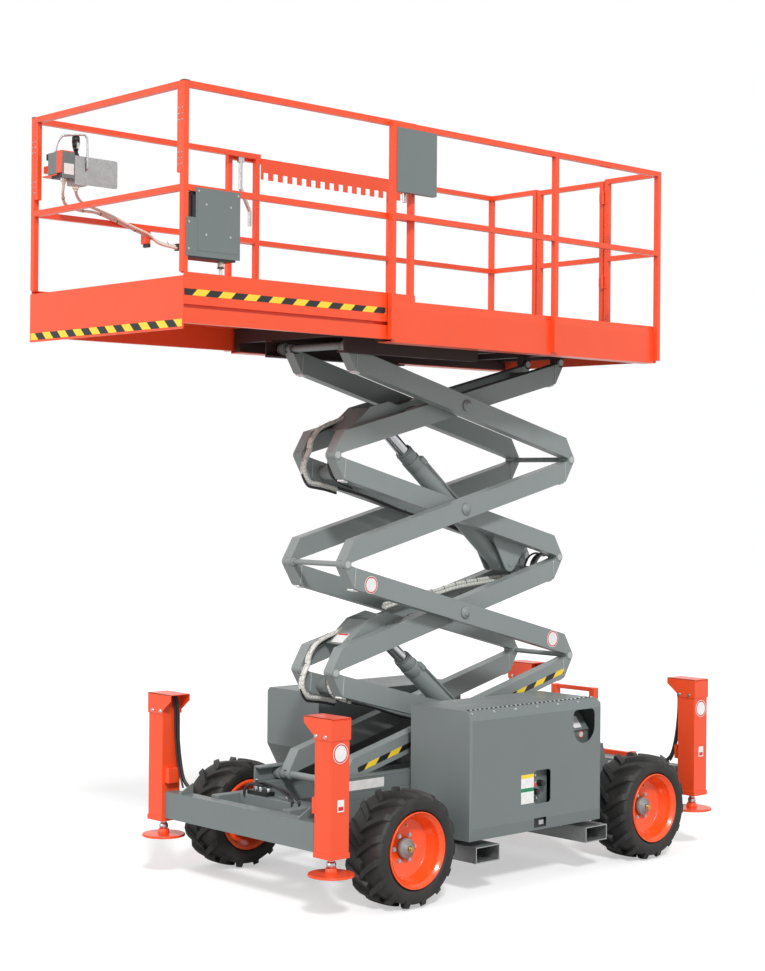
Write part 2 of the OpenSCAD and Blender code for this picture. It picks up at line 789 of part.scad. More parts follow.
module side_guard() {
    y = deck_y - tube;
    posts = [deck_rear, mid_post_x, deck_front - tube];
    for (x = posts) block([x, y, panel_z + 14], [x + tube, deck_y, rail_top_z - tube]);
    block([deck_rear, y, rail_top_z - tube], [deck_front, deck_y, rail_top_z]);
    block([deck_rear + tube, y, mid_top_z - tube], [deck_front - tube, deck_y, mid_top_z]);
}
module guard_rail_left() color(orange) side_guard();
module guard_rail_right() color(orange) mirror([0, 1, 0]) side_guard();

// Axis of the gate's hinges, inside the left gate post, and their two levels
hinge_x = deck_rear + tube + 10;
hinge_y = gate_half - 5;
hinge_z = [top_z + 1105, top_z + 545];

module guard_rail_rear() color(orange) {
    x = deck_rear;
    both_sides() {
        for (z = [rail_top_z, mid_top_z])
            block([x, gate_half + tube, z - tube], [x + tube, deck_y - tube, z]);
        block([x, gate_half, floor_z + plate], [x + tube, gate_half + tube, rail_top_z]);
    }
    for (z = hinge_z) {
        bar_z(hinge_x, hinge_y, 4, z - 40, z + 40);
        for (e = [z - 44, z + 29]) {
            bar_z(hinge_x, hinge_y, 9, e, e + 15);
            block([x + tube - 1, gate_half + 1, e], [hinge_x, gate_half + 4, e + 15]);
        }
        block([x + tube - 1, gate_half + 6, z - 44], [x + tube + 3, gate_half + tube, z + 44]);
    }
}

// Notched rack under the right top rail
module comb_rack() color(orange) {
    front = 920;
    pitch_x = 80;
    count = 16;
    y = -panel_y;
    slab_y(y, y + 4) difference() {
        translate([front - count * pitch_x, rail_top_z - tube - 100])
            square([count * pitch_x, 132]);
        for (i = [0:count - 1])
            translate([front - (i + 0.75) * pitch_x, rail_top_z - tube - 101])
                square([pitch_x / 2, 46]);
    }
}

// Flat box that hangs in the left guard rail, behind its front post
module document_box() color(grey)
    block([832, panel_y, rail_top_z - 392], [deck_front - tube, deck_y + 3, rail_top_z - tube]);

module gate() color(orange) {
    x = deck_rear;
    leaf = gate_half - 10;
    low = floor_z + plate + deck_gap + 6;
    both_sides() block([x, leaf - tube, low], [x + tube, leaf, rail_top_z - 10]);
    for (z = [rail_top_z - 10, mid_top_z])
        block([x, -leaf, z - tube], [x + tube, leaf, z]);
    block([x, -leaf, low], [x + 4, leaf, low + 104]);
    for (z = hinge_z) difference() {
        union() {
            bar_z(hinge_x, hinge_y, 9, z - 28, z + 28);
            block([x + tube - 1, leaf - tube, z - 28], [x + tube + 3, leaf - 2, z + 28]);
            block([x + tube, leaf - 8, z - 28], [hinge_x - 3, leaf, z + 28]);
        }
        bar_z(hinge_x, hinge_y, 4.4, z - 29, z + 29);
    }
}

// ---- roll-out extension --------------------------------------------------------------

module extension_side() slab_x(ext_rear, ext_front - 8) {
    y = ext_y;
    high = top_z + ext_panel_top;
    translate([y - 32, ext_panel_z]) square([32, 78]);
    translate([y - 32, ext_panel_z + 77]) square([6, ext_floor_z + plate - ext_panel_z - 77]);
    translate([y - 32, ext_panel_z + 96]) square([32, 6]);
    translate([y - 6, ext_panel_z + 96]) square([6, high - ext_panel_z - 96]);
    translate([y - 26, high - 6]) square([26, 6]);
}

module extension_deck() color(orange) {
    both_sides() extension_side();
    block([ext_rear, -ext_y + 30, ext_floor_z], [ext_front - 8, ext_y - 30, ext_floor_z + plate]);
    block([ext_front - 8, -ext_y, panel_z - 16], [ext_front, ext_y, top_z + ext_panel_top - 20]);
}

module extension_rails() color(orange) {
    y = ext_y;
    high = top_z + ext_top;
    mid = mid_top_z;
    low = top_z + ext_panel_top;
    both_sides() {
        block([ext_rear, y - tube, high - tube], [ext_front, y, high]);
        block([ext_rear + 40, y - tube, mid - tube], [ext_front, y, mid]);
        for (x = [ext_rear + 8, ext_front - tube])
            block([x, y - tube, low], [x + tube, y, high - tube]);
    }
    for (z = [high, mid])
        block([ext_front - tube, -y + tube, z - tube], [ext_front, y - tube, z]);
}

// Handles that push the extension out, hung under its top rails
module roll_out_handles() color(steel) both_sides() {
    y = ext_y - tube / 2;
    x = ext_rear + 150;
    high = top_z + ext_top - tube;
    block([x - 22, y - 8, high - 34], [x + 22, y + 8, high]);
    bar_z(x, y, 12, high - 190, high - 20);
    hull() {
        bar_z(x, y, 12, high - 200, high - 185);
        translate([x - 75, y, high - 330]) sphere(r = 12, $fn = 16);
    }
    bar_z(x - 75, y, 12, high - 420, high - 330);
}

// Console on a bracket from the right front post, with a plate beside it
module control_box() color(grey) {
    x = ext_front - tube;
    high = top_z + ext_top;
    block([x - 190, -560, high - 330], [x, -290, high - 190]);
    block([x - 8, -290, high - 340], [x, 110, high - 190]);
    block([x - 150, -ext_y + tube, high - 338], [x + 20, -400, high - 330]);
}

module outlet_box() color(grey) {
    y = ext_y - tube;
    block([ext_front - 400, y - 90, top_z + 330], [ext_front - 60, y, mid_top_z - tube + 20]);
}

place() chassis_frame();
place() front_beam();
place() rear_beam();
place() outrigger_columns();
place() outrigger_caps();
place() fork_pockets();
place() front_axle();
place() rear_axle();
place() cabinet_left();
place() cabinet_right();
place() engine();
place() fluid_tank();
place() base_controls();
place() entry_ladder();
place() knuckle_left();
place() knuckle_right();
place() tie_rod();
place() tyre_front_left();
place() tyre_front_right();
place() tyre_rear_left();
place() tyre_rear_right();
place() rim_front_left();
place() rim_front_right();
place() rim_rear_left();
place() rim_rear_right();
place() foot_front_left();
place() foot_front_right();
place() foot_rear_left();
place() foot_rear_right();
place() inner_arms_1();
place() inner_arms_2();
place() inner_arms_3();
place() inner_arms_4();
place() outer_arms_1();
place() outer_arms_2();
place() outer_arms_3();
place() outer_arms_4();
place() barrel_upper();
place() rod_upper();
place() barrel_lower();
place() rod_lower();
place() platform_deck();
place() side_panel_left();
place() side_panel_right();
place() rear_panel();
place() guard_rail_left();
place() guard_rail_right();
place() guard_rail_rear();
place() comb_rack();
place() document_box();
place() gate();
place() extension_deck();
place() extension_rails();
place() roll_out_handles();
place() control_box();
place() outlet_box();
place() door_left();
place() door_right();
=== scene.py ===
"""Looks of a rough-terrain scissor lift, built around its fixed frame."""

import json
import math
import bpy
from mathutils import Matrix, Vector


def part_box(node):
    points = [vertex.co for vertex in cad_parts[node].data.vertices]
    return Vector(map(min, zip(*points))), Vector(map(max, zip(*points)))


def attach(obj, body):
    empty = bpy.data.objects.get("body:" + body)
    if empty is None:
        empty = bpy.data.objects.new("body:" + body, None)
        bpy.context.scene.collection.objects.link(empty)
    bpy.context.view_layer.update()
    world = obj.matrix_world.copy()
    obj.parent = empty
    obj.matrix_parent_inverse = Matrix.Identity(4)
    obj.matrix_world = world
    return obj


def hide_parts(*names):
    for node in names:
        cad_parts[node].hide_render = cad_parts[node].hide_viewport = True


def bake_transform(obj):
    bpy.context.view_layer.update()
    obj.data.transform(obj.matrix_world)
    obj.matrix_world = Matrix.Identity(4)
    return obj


bl_info = {
    "name": "Scissor Lift Dressing",
    "version": (1, 0, 0),
    "blender": (4, 5, 0),
    "location": "View3D > Sidebar > Scissor Lift",
    "description": "Paint, tyres, hoses, plates and fittings of a scissor lift",
    "category": "Object",
}

import bmesh
import bpy
from bpy.props import FloatProperty, FloatVectorProperty, IntProperty, PointerProperty
from bpy.types import Operator, Panel, PropertyGroup
from mathutils import Matrix, Vector

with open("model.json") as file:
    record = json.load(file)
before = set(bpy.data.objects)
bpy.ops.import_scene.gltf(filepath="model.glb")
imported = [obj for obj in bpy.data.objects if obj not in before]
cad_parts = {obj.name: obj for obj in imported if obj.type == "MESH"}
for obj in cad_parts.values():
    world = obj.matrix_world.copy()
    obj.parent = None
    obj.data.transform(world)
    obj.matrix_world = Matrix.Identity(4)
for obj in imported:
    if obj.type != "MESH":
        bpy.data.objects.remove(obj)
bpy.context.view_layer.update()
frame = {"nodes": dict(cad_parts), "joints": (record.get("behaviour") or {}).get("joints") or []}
NODES = frame["nodes"]
PIVOT = {j["name"]: Vector(j["pos_m"]) for j in frame["joints"] if "pos_m" in j}
SIDES = (("left", 1), ("right", -1))
ENDS = (("front", 1), ("rear", -1))
STAGES = (1, 2, 3, 4)

# Metres. A pair of arms and the rails are given by the y of their two faces.
ARM_DEPTH = 0.122
STOW_GAP = 0.006
INNER_ARM = (0.106, 0.182)
OUTER_ARM = (0.2, 0.276)
RAIL = (0.286, 0.35)
POCKETS = (-0.488, 0.488)
COLUMN_HALF = 0.067
COLUMN_FOOT = 0.345
CAP_TOP = 1.106
BEAD = 0.21
RIM_FACE = 0.028
# x of the middle of the wheelbase, from which the chassis, doors and fittings are placed
X0 = -0.441

ARM_LENGTH = (PIVOT["stage_3"] - PIVOT["lift"]).length
LIFT_ANGLE = math.atan2(
    PIVOT["stage_3"].z - PIVOT["lift"].z, PIVOT["stage_3"].x - PIVOT["lift"].x
)
STOW_ANGLE = math.asin((ARM_DEPTH + STOW_GAP) / ARM_LENGTH)
BODY_ANGLE = LIFT_ANGLE - STOW_ANGLE
HALF = ARM_LENGTH * math.cos(STOW_ANGLE) / 2
PIN_OFF = (ARM_DEPTH + STOW_GAP) / 2


def wheels():
    """Name, side and centre of each wheel."""
    for end, _ in ENDS:
        for side, s in SIDES:
            yield f"{end}_{side}", s, PIVOT[f"wheel_{end}_{side}_spin"]


def outriggers():
    """End, side, their signs, and the middle (x, y) of each outrigger."""
    for end, e in ENDS:
        for side, s in SIDES:
            low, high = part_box(f"foot_{end}_{side}")
            yield end, side, e, s, (low.x + high.x) / 2, (low.y + high.y) / 2


# ---- settings ------------------------------------------------------------------


def paint_setting(name, description, default):
    return FloatVectorProperty(
        name=name, description=description, subtype="COLOR", size=3, default=default, min=0, max=1)


class LiftPaint(PropertyGroup):
    orange: paint_setting("Orange", "Colour of the orange enamel", (0.85, 0.075, 0.016))
    wheel_orange: paint_setting("Wheel orange", "Colour of the rims", (0.93, 0.085, 0.01))
    arm_grey: paint_setting("Arm grey", "Colour of the arms and cylinders", (0.225, 0.255, 0.25))
    cabinet_grey: paint_setting(
        "Cabinet grey", "Colour of the chassis and cabinets", (0.155, 0.18, 0.178))
    stripe_yellow: paint_setting(
        "Stripe yellow", "Yellow of the hazard stripes", (0.88, 0.63, 0.04))


class LiftTyres(PropertyGroup):
    lugs: IntProperty(
        name="Lugs", description="Lugs on each side of a tyre", default=15, min=8, max=24)
    lug_height: FloatProperty(
        name="Lug height", description="Height of a lug above the carcass",
        default=0.026, min=0.01, max=0.04, unit="LENGTH")


class LiftTrim(PropertyGroup):
    bolt_radius: FloatProperty(
        name="Bolt radius", description="Radius of a bolt head", default=0.009,
        min=0.004, max=0.02, unit="LENGTH")


class LiftStage(PropertyGroup):
    floor_size: FloatProperty(
        name="Floor size", description="Side of the square floor", default=60,
        min=10, max=200, unit="LENGTH")
    key_strength: FloatProperty(
        name="Key strength", description="Strength of the key light", default=2.3, min=0, max=10)
    fill_strength: FloatProperty(
        name="Fill strength", description="Strength of the surroundings", default=0.62,
        min=0, max=3)


# ---- finishes ------------------------------------------------------------------


def new_material(name):
    mat = bpy.data.materials.new(name)
    mat.use_nodes = True
    tree = mat.node_tree
    return mat, tree, tree.nodes["Principled BSDF"]


def object_noise(tree, scale, detail=3.0, rough=0.55):
    """Noise on the object's own coordinates."""
    coord = tree.nodes.new("ShaderNodeTexCoord")
    noise = tree.nodes.new("ShaderNodeTexNoise")
    noise.inputs["Scale"].default_value = scale
    noise.inputs["Detail"].default_value = detail
    noise.inputs["Roughness"].default_value = rough
    tree.links.new(coord.outputs["Object"], noise.inputs["Vector"])
    return noise.outputs["Fac"]


def ramp(tree, source, stops):
    node = tree.nodes.new("ShaderNodeValToRGB")
    while len(node.color_ramp.elements) < len(stops):
        node.color_ramp.elements.new(0.5)
    for element, (place, colour) in zip(node.color_ramp.elements, stops):
        element.position = place
        element.color = (*colour, 1)
    tree.links.new(source, node.inputs["Fac"])
    return node


def tint(tree, shader, source, stops, socket="Base Color"):
    """Leads a source through a ramp into a socket of the shader."""
    node = ramp(tree, source, stops)
    tree.links.new(node.outputs["Color"], shader.inputs[socket])
    return node


def shade(colour, factor):
    return tuple(min(1.0, max(0.0, c * factor)) for c in colour)


def grey(value):
    return (value,) * 3


def bump_from(tree, shader, source, strength, distance):
    bump = tree.nodes.new("ShaderNodeBump")
    bump.inputs["Strength"].default_value = strength
    bump.inputs["Distance"].default_value = distance
    tree.links.new(source, bump.inputs["Height"])
    tree.links.new(bump.outputs["Normal"], shader.inputs["Normal"])


def enamel(name, colour, rough=0.34, coat=0.25, dust=0.5):
    """Sprayed enamel: faint orange peel, slightly uneven gloss and a little dust."""
    mat, tree, shader = new_material(name)
    shader.inputs["Coat Weight"].default_value = coat
    shader.inputs["Coat Roughness"].default_value = 0.12
    tint(tree, shader, object_noise(tree, 2.2, 4), [
        (0.3, shade(colour, 1 - 0.07 * dust)), (0.55, colour),
        (0.8, shade(colour, 1 + 0.06 * dust))])
    gloss = object_noise(tree, 7.0, 5)
    tint(tree, shader, gloss, [(0.3, grey(rough - 0.05)), (0.75, grey(rough + 0.09))], "Roughness")
    bump_from(tree, shader, object_noise(tree, 240.0, 2), 0.05, 0.001)
    return mat


def metal(name, colour, rough=0.3):
    mat, tree, shader = new_material(name)
    shader.inputs["Metallic"].default_value = 1.0
    streaks = object_noise(tree, 60.0, 4, 0.6)
    tint(tree, shader, streaks, [(0.3, shade(colour, 0.86)), (0.7, shade(colour, 1.08))])
    tint(tree, shader, streaks, [(0.3, grey(rough * 0.8)), (0.75, grey(rough * 1.35))], "Roughness")
    return mat


def plastic(name, colour, rough=0.45, scale=90.0):
    mat, tree, shader = new_material(name)
    shader.inputs["Roughness"].default_value = rough
    speck = object_noise(tree, scale, 3)
    tint(tree, shader, speck, [(0.35, shade(colour, 0.92)), (0.7, shade(colour, 1.06))])
    bump_from(tree, shader, speck, 0.08, 0.0006)
    return mat


def tyre_black(name):
    """Tyre rubber: matt black, with patches of paler dust."""
    mat, tree, shader = new_material(name)
    shader.inputs["Roughness"].default_value = 0.62
    tint(tree, shader, object_noise(tree, 9.0, 6, 0.65), [
        (0.35, (0.011, 0.011, 0.011)), (0.6, (0.021, 0.02, 0.019)), (0.85, (0.05, 0.046, 0.038))])
    bump_from(tree, shader, object_noise(tree, 130.0, 4), 0.25, 0.0015)
    return mat


def striped(name, direction, pitch, yellow, black=(0.012, 0.012, 0.013)):
    """Hazard stripes that repeat along direction, in the object's own coordinates."""
    mat, tree, shader = new_material(name)
    coord = tree.nodes.new("ShaderNodeTexCoord")
    dot = tree.nodes.new("ShaderNodeVectorMath")
    dot.operation = "DOT_PRODUCT"
    dot.inputs[1].default_value = tuple(c / pitch for c in direction)
    part = tree.nodes.new("ShaderNodeMath")
    part.operation = "FRACT"
    tree.links.new(coord.outputs["Object"], dot.inputs[0])
    tree.links.new(dot.outputs["Value"], part.inputs[0])
    bands = tint(tree, shader, part.outputs[0], [(0.0, black), (0.5, yellow)])
    bands.color_ramp.interpolation = "CONSTANT"
    shader.inputs["Roughness"].default_value = 0.4
    return mat


def wrapped(name, colour, turns=0.012):
    """White spiral wrap on a hose, with a fine groove between its turns."""
    mat, tree, shader = new_material(name)
    coord = tree.nodes.new("ShaderNodeTexCoord")
    wave = tree.nodes.new("ShaderNodeTexWave")
    wave.wave_type = "BANDS"
    wave.bands_direction = "DIAGONAL"
    wave.inputs["Scale"].default_value = 0.3 / turns
    wave.inputs["Distortion"].default_value = 1.5
    tree.links.new(coord.outputs["Object"], wave.inputs["Vector"])
    # the darker band between turns is painted shade in the groove
    tint(tree, shader, wave.outputs["Fac"], [(0.1, shade(colour, 0.72)), (0.35, colour)])
    shader.inputs["Roughness"].default_value = 0.42
    bump_from(tree, shader, wave.outputs["Fac"], 0.35, 0.002)
    return mat


FINISH = {}


def mix_finishes(paint):
    yellow = tuple(paint.stripe_yellow)
    FINISH.update(
        orange=enamel("orange_enamel", tuple(paint.orange), 0.36, 0.2),
        rim=enamel("rim_enamel", tuple(paint.wheel_orange), 0.26, 0.4, 0.3),
        arm=enamel("arm_enamel", tuple(paint.arm_grey), 0.42, 0.12),
        cabinet=enamel("cabinet_enamel", tuple(paint.cabinet_grey), 0.44, 0.1),
        # near-black red-brown deck: painted shade of the platform's underside, not its paint
        deck=plastic("deck_underside", (0.035, 0.012, 0.01), 0.6, 40),
        black=plastic("black_fittings", (0.016, 0.016, 0.017), 0.42),
        rubber=tyre_black("tyre_rubber"),
        chrome=metal("rod_chrome", (0.62, 0.63, 0.65), 0.12),
        zinc=metal("zinc_plate", (0.6, 0.61, 0.62), 0.3),
        galvanised=metal("galvanised_sheet", (0.5, 0.52, 0.52), 0.45),
        brass=metal("brass_nut", (0.62, 0.45, 0.17), 0.32),
        wrap=wrapped("hose_wrap", (0.62, 0.62, 0.58)),
        conduit=plastic("cream_conduit", (0.72, 0.66, 0.58), 0.5),
        tie=plastic("tie_black", (0.01, 0.01, 0.011), 0.4),
        hose=plastic("hose_black", (0.014, 0.014, 0.016), 0.5),
        white=plastic("blank_white", (0.78, 0.78, 0.77), 0.5, 30),
        red=plastic("sign_red", (0.62, 0.02, 0.015), 0.45, 30),
        yellow=plastic("sign_yellow", yellow, 0.45, 30),
        green=plastic("sign_green", (0.01, 0.22, 0.1), 0.45, 30),
        # light grey welded beads: partly the seam itself, partly a painted highlight on the arms'
        # bend edges
        weld=enamel("weld_bead", (0.42, 0.45, 0.44), 0.3, 0.3),
        lamp=plastic("lamp_red", (0.75, 0.04, 0.02), 0.2, 30),
        stripe_front=striped("stripe_front", (0, 1, 1), 0.15, yellow),
        stripe_side=striped("stripe_side", (1, 0, 1), 0.17, yellow),
        stripe_arm=striped("stripe_arm", (1, 0, 0.8), 0.148, yellow),
    )


CABINET_NODES = (
    "chassis_frame", "front_beam", "rear_beam", "front_axle", "rear_axle", "cabinet_left",
    "cabinet_right", "knuckle_left", "knuckle_right", "door_left", "door_right",
    "control_box", "outlet_box", "document_box",
)


def finish_of(node):
    if node.startswith("tyre"):
        return "rubber"
    if node.startswith("rim"):
        return "rim"
    if node.startswith("rod_"):
        return "chrome"
    if node.startswith(("inner_arms", "outer_arms", "barrel")):
        return "arm"
    if node in CABINET_NODES:
        return "cabinet"
    if node == "fork_pockets":
        return "galvanised"
    if node in ("tie_rod", "roll_out_handles"):
        return "zinc"
    if node in ("engine", "fluid_tank", "base_controls"):
        return "black"
    # the deck takes a near-black red-brown that paints the shade under the platform
    if node == "platform_deck":
        return "deck"
    return "orange"


# ---- mesh helpers ---------------------------------------------------------------


def add_box(bm, low, high, mat=0, bevel=0.0):
    low, high = Vector(low), Vector(high)
    made = bmesh.ops.create_cube(bm, size=1.0)["verts"]
    size = high - low
    middle = (high + low) / 2
    for v in made:
        v.co = Vector(v.co[i] * size[i] + middle[i] for i in range(3))
    faces = list({f for v in made for f in v.link_faces})
    if bevel:
        edges = list({e for f in faces for e in f.edges})
        out = bmesh.ops.bevel(bm, geom=edges, offset=bevel, segments=2, affect="EDGES", profile=0.5)
        faces = out["faces"] + [f for f in faces if f.is_valid]
    for f in faces:
        if f.is_valid:
            f.material_index = mat


def add_rod(bm, start, end, radius, mat=0, sides=16, end_radius=None):
    start, end = Vector(start), Vector(end)
    line = end - start
    turn = line.to_track_quat("Z", "Y").to_matrix().to_4x4()
    place = Matrix.Translation((start + end) / 2) @ turn
    made = bmesh.ops.create_cone(
        bm, cap_ends=True, segments=sides, radius1=radius,
        radius2=radius if end_radius is None else end_radius, depth=line.length, matrix=place)
    for f in {f for v in made["verts"] for f in v.link_faces}:
        f.material_index = mat
        f.smooth = len(f.verts) == 4
def bridge(bm, one, two, mat, smooth=False):
    """Faces between two rings of the same length."""
    n = len(one)
    for k in range(n):
        f = bm.faces.new((one[k], one[(k + 1) % n], two[(k + 1) % n], two[k]))
        f.material_index = mat
        f.smooth = smooth


def prism(bm, near, far, mat=0):
    """A closed form between two outlines of the same length."""
    near = [bm.verts.new(p) for p in near]
    far = [bm.verts.new(p) for p in far]
    for cap in (near[::-1], far):
        bm.faces.new(cap).material_index = mat
    bridge(bm, near, far, mat)


def ring(bm, centre, side, other, radius, sides):
    return [bm.verts.new(centre + radius * (math.cos(a) * side + math.sin(a) * other))
            for a in (2 * math.pi * k / sides for k in range(sides))]


def add_sweep(bm, points, radius, mat=0, sides=10):
    """A round tube along points, with parallel frames so that it doesn't twist."""
    points = [Vector(p) for p in points]
    ends = points[:1] + points + points[-1:]
    side = (points[1] - points[0]).normalized().orthogonal().normalized()
    rings = []
    for before, p, after in zip(ends, points, ends[2:]):
        along = (after - before).normalized()
        side = (side - along * side.dot(along)).normalized()
        rings.append(ring(bm, p, side, along.cross(side), radius, sides))
    for one, two in zip(rings, rings[1:]):
        bridge(bm, one, two, mat, True)
    for cap in (rings[0][::-1], rings[-1]):
        bm.faces.new(cap).material_index = mat


def smooth_path(points, steps=6):
    """Catmull-Rom curve through points."""
    points = [Vector(p) for p in points]
    padded = [2 * points[0] - points[1]] + points + [2 * points[-1] - points[-2]]
    out = []
    for i in range(1, len(padded) - 2):
        a, b, c, d = padded[i - 1:i + 3]
        for k in range(steps):
            t = k / steps
            out.append(0.5 * (2 * b + (c - a) * t + (2 * a - 5 * b + 4 * c - d) * t * t
                              + (3 * b - a - 3 * c + d) * t ** 3))
    return out + [points[-1]]


def lathe(bm, profile, centre, axis_sign, steps, closed=True):
    """Turns (radius, along y) points about an axis along Y through centre."""
    rings = []
    for i in range(steps):
        a = 2 * math.pi * i / steps
        rings.append([
            bm.verts.new(centre + Vector((r * math.cos(a), axis_sign * y, r * math.sin(a))))
            for r, y in profile])
    n = len(profile)
    for i in range(steps):
        one, two = rings[i], rings[(i + 1) % steps]
        for k in range(n if closed else n - 1):
            quad = (one[k], one[(k + 1) % n], two[(k + 1) % n], two[k])
            bm.faces.new(quad if axis_sign > 0 else quad[::-1]).smooth = True
def to_mesh(name, bm):
    """A mesh made of bm with its faces turned outwards."""
    bmesh.ops.recalc_face_normals(bm, faces=bm.faces)
    mesh = bpy.data.meshes.new(name)
    bm.to_mesh(mesh)
    bm.free()
    return mesh


def shown(name, mesh):
    obj = bpy.data.objects.new(name, mesh)
    bpy.context.scene.collection.objects.link(obj)
    return obj


def piece(name, bm, mats, body, bevel=0.0):
    """Turns bm into a shown piece that rides on body, if one is given."""
    mesh = to_mesh(name, bm)
    for m in mats if isinstance(mats, (list, tuple)) else [mats]:
        mesh.materials.append(FINISH[m])
    obj = shown(name, mesh)
    if bevel:
        mod = obj.modifiers.new("edge", "BEVEL")
        mod.width = bevel
        mod.segments = 2
        mod.limit_method = "ANGLE"
        mod.angle_limit = math.radians(30)
        settle(obj)
    if body:
        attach(obj, body)
    return obj


def settle(obj):
    """Replaces an object's mesh by what its modifiers make of it."""
    graph = bpy.context.evaluated_depsgraph_get()
    done = bpy.data.meshes.new_from_object(obj.evaluated_get(graph), depsgraph=graph)
    obj.modifiers.clear()
    old, obj.data = obj.data, done
    bpy.data.meshes.remove(old)
    done.name = obj.name


def stage_place(stage, forward):
    """Frame of the arms of a stage: x along the arm from its lower end, z across it."""
    place = Matrix.Translation(PIVOT[f"centre_{stage}"])
    if not forward:
        place = place @ Matrix.Scale(-1, 4, (1, 0, 0))
    return place @ Matrix.Rotation(-BODY_ANGLE, 4, "Y")


# ---- scatter by geometry nodes ---------------------------------------------------


def scatter_tree(name, part, material):
    """Tree that puts a copy of part on each point, turned to the point's normal."""
    tree = bpy.data.node_groups.new(name, "GeometryNodeTree")
    face = tree.interface
    face.new_socket("Points", in_out="INPUT", socket_type="NodeSocketGeometry")
    size = face.new_socket("Size", in_out="INPUT", socket_type="NodeSocketFloat")
    size.default_value = 1.0
    face.new_socket("Geometry", in_out="OUTPUT", socket_type="NodeSocketGeometry")
    add = tree.nodes.new
    start, end = add("NodeGroupInput"), add("NodeGroupOutput")
    source = add("GeometryNodeObjectInfo")
    source.inputs["Object"].default_value = part
    source.inputs["As Instance"].default_value = True
    facing = add("GeometryNodeInputNamedAttribute")
    facing.data_type = "FLOAT_VECTOR"
    facing.inputs["Name"].default_value = "facing"
    turn = add("FunctionNodeAlignEulerToVector")
    turn.axis = "Z"
    spread = add("GeometryNodeInstanceOnPoints")
    real = add("GeometryNodeRealizeInstances")
    paint = add("GeometryNodeSetMaterial")
    paint.inputs["Material"].default_value = material
    link = tree.links.new
    link(facing.outputs["Attribute"], turn.inputs["Vector"])
    link(start.outputs["Points"], spread.inputs["Points"])
    link(source.outputs["Geometry"], spread.inputs["Instance"])
    link(turn.outputs["Rotation"], spread.inputs["Rotation"])
    link(start.outputs["Size"], spread.inputs["Scale"])
    link(spread.outputs["Instances"], real.inputs["Geometry"])
    link(real.outputs["Geometry"], paint.inputs["Geometry"])
    link(paint.outputs["Geometry"], end.inputs["Geometry"])
    return tree, size.identifier


def scatter(name, part, spots, finish, body, size=1.0):
    """Puts part at each (place, facing) spot and keeps the result as one plain mesh."""
    mesh = bpy.data.meshes.new(name)
    mesh.from_pydata([tuple(p) for p, _ in spots], [], [])
    facing = mesh.attributes.new("facing", "FLOAT_VECTOR", "POINT")
    for i, (_, f) in enumerate(spots):
        facing.data[i].vector = f
    obj = shown(name, mesh)
    tree, key = scatter_tree(name + "_nodes", part, FINISH[finish])
    mod = obj.modifiers.new("scatter", "NODES")
    mod.node_group = tree
    mod[key] = size
    settle(obj)
    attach(obj, body)


def hidden_part(name, bm):
    """A mesh that only the scatter trees use."""
    return bpy.data.objects.new(name, to_mesh(name, bm))


def bolt_part(radius):
    """Hexagon head on a washer, standing on z = 0."""
    bm = bmesh.new()
    add_rod(bm, (0, 0, -0.0005), (0, 0, 0.0022), radius * 1.35, sides=18)
    add_rod(bm, (0, 0, 0.002), (0, 0, 0.002 + radius * 0.75), radius, sides=6)
    for f in bm.faces:
        f.smooth = False
    return hidden_part("bolt_part", bm)


# ---- wheels ----------------------------------------------------------------------


def tyre_profile(radius, bead, half):
    """Carcass section from bead to bead, as (radius, y)."""
    shoulder = radius - 0.034
    side = [(bead, -half * 0.84), (bead + 0.012, -half * 0.9), (bead + 0.016, -half * 0.955),
            (bead + 0.03, -half * 0.985), (bead + 0.05, -half), (bead + 0.066, -half),
            (shoulder - 0.004, -half * 0.95), (shoulder + 0.004, -half * 0.86),
            (radius - 0.027, -half * 0.5), (radius - 0.025, 0)]
    return side + [(r, -y) for r, y in side[-2::-1]]


def add_lug(bm, radius, half, height, mirror, drift=0.36, steps=7):
    """One lug: from the tread's middle outwards, sweeping back, then down the shoulder."""
    rows = []
    for i in range(steps + 1):
        t = i / steps
        y = -0.012 + t * (half + 0.01)
        angle = drift * (t ** 0.85)
        over = max(0.0, t - 0.8) / 0.2
        top = radius - 0.0035 * (t * 2 - 0.6) ** 2 - 0.03 * over ** 1.6
        low = top - height * (1 + 0.25 * over)
        if over >= 1:
            low = top - height
        wide = (0.036 + 0.014 * t) / radius
        y = min(y, half - 0.001 - 0.004 * (1 - over) * (t > 0.8))
        row = []
        for lift, grow in ((low, 1.25), (top, 0.86), (top, -0.86), (low, -1.25)):
            a = angle + wide / 2 * grow
            row.append(bm.verts.new(Vector((lift * math.cos(a), mirror * y, lift * math.sin(a)))))
        rows.append(row)
    for one, two in zip(rows, rows[1:]):
        for k in range(3):
            bm.faces.new((one[k], one[k + 1], two[k + 1], two[k]))
    bm.faces.new(rows[0])
    bm.faces.new(rows[-1][::-1])


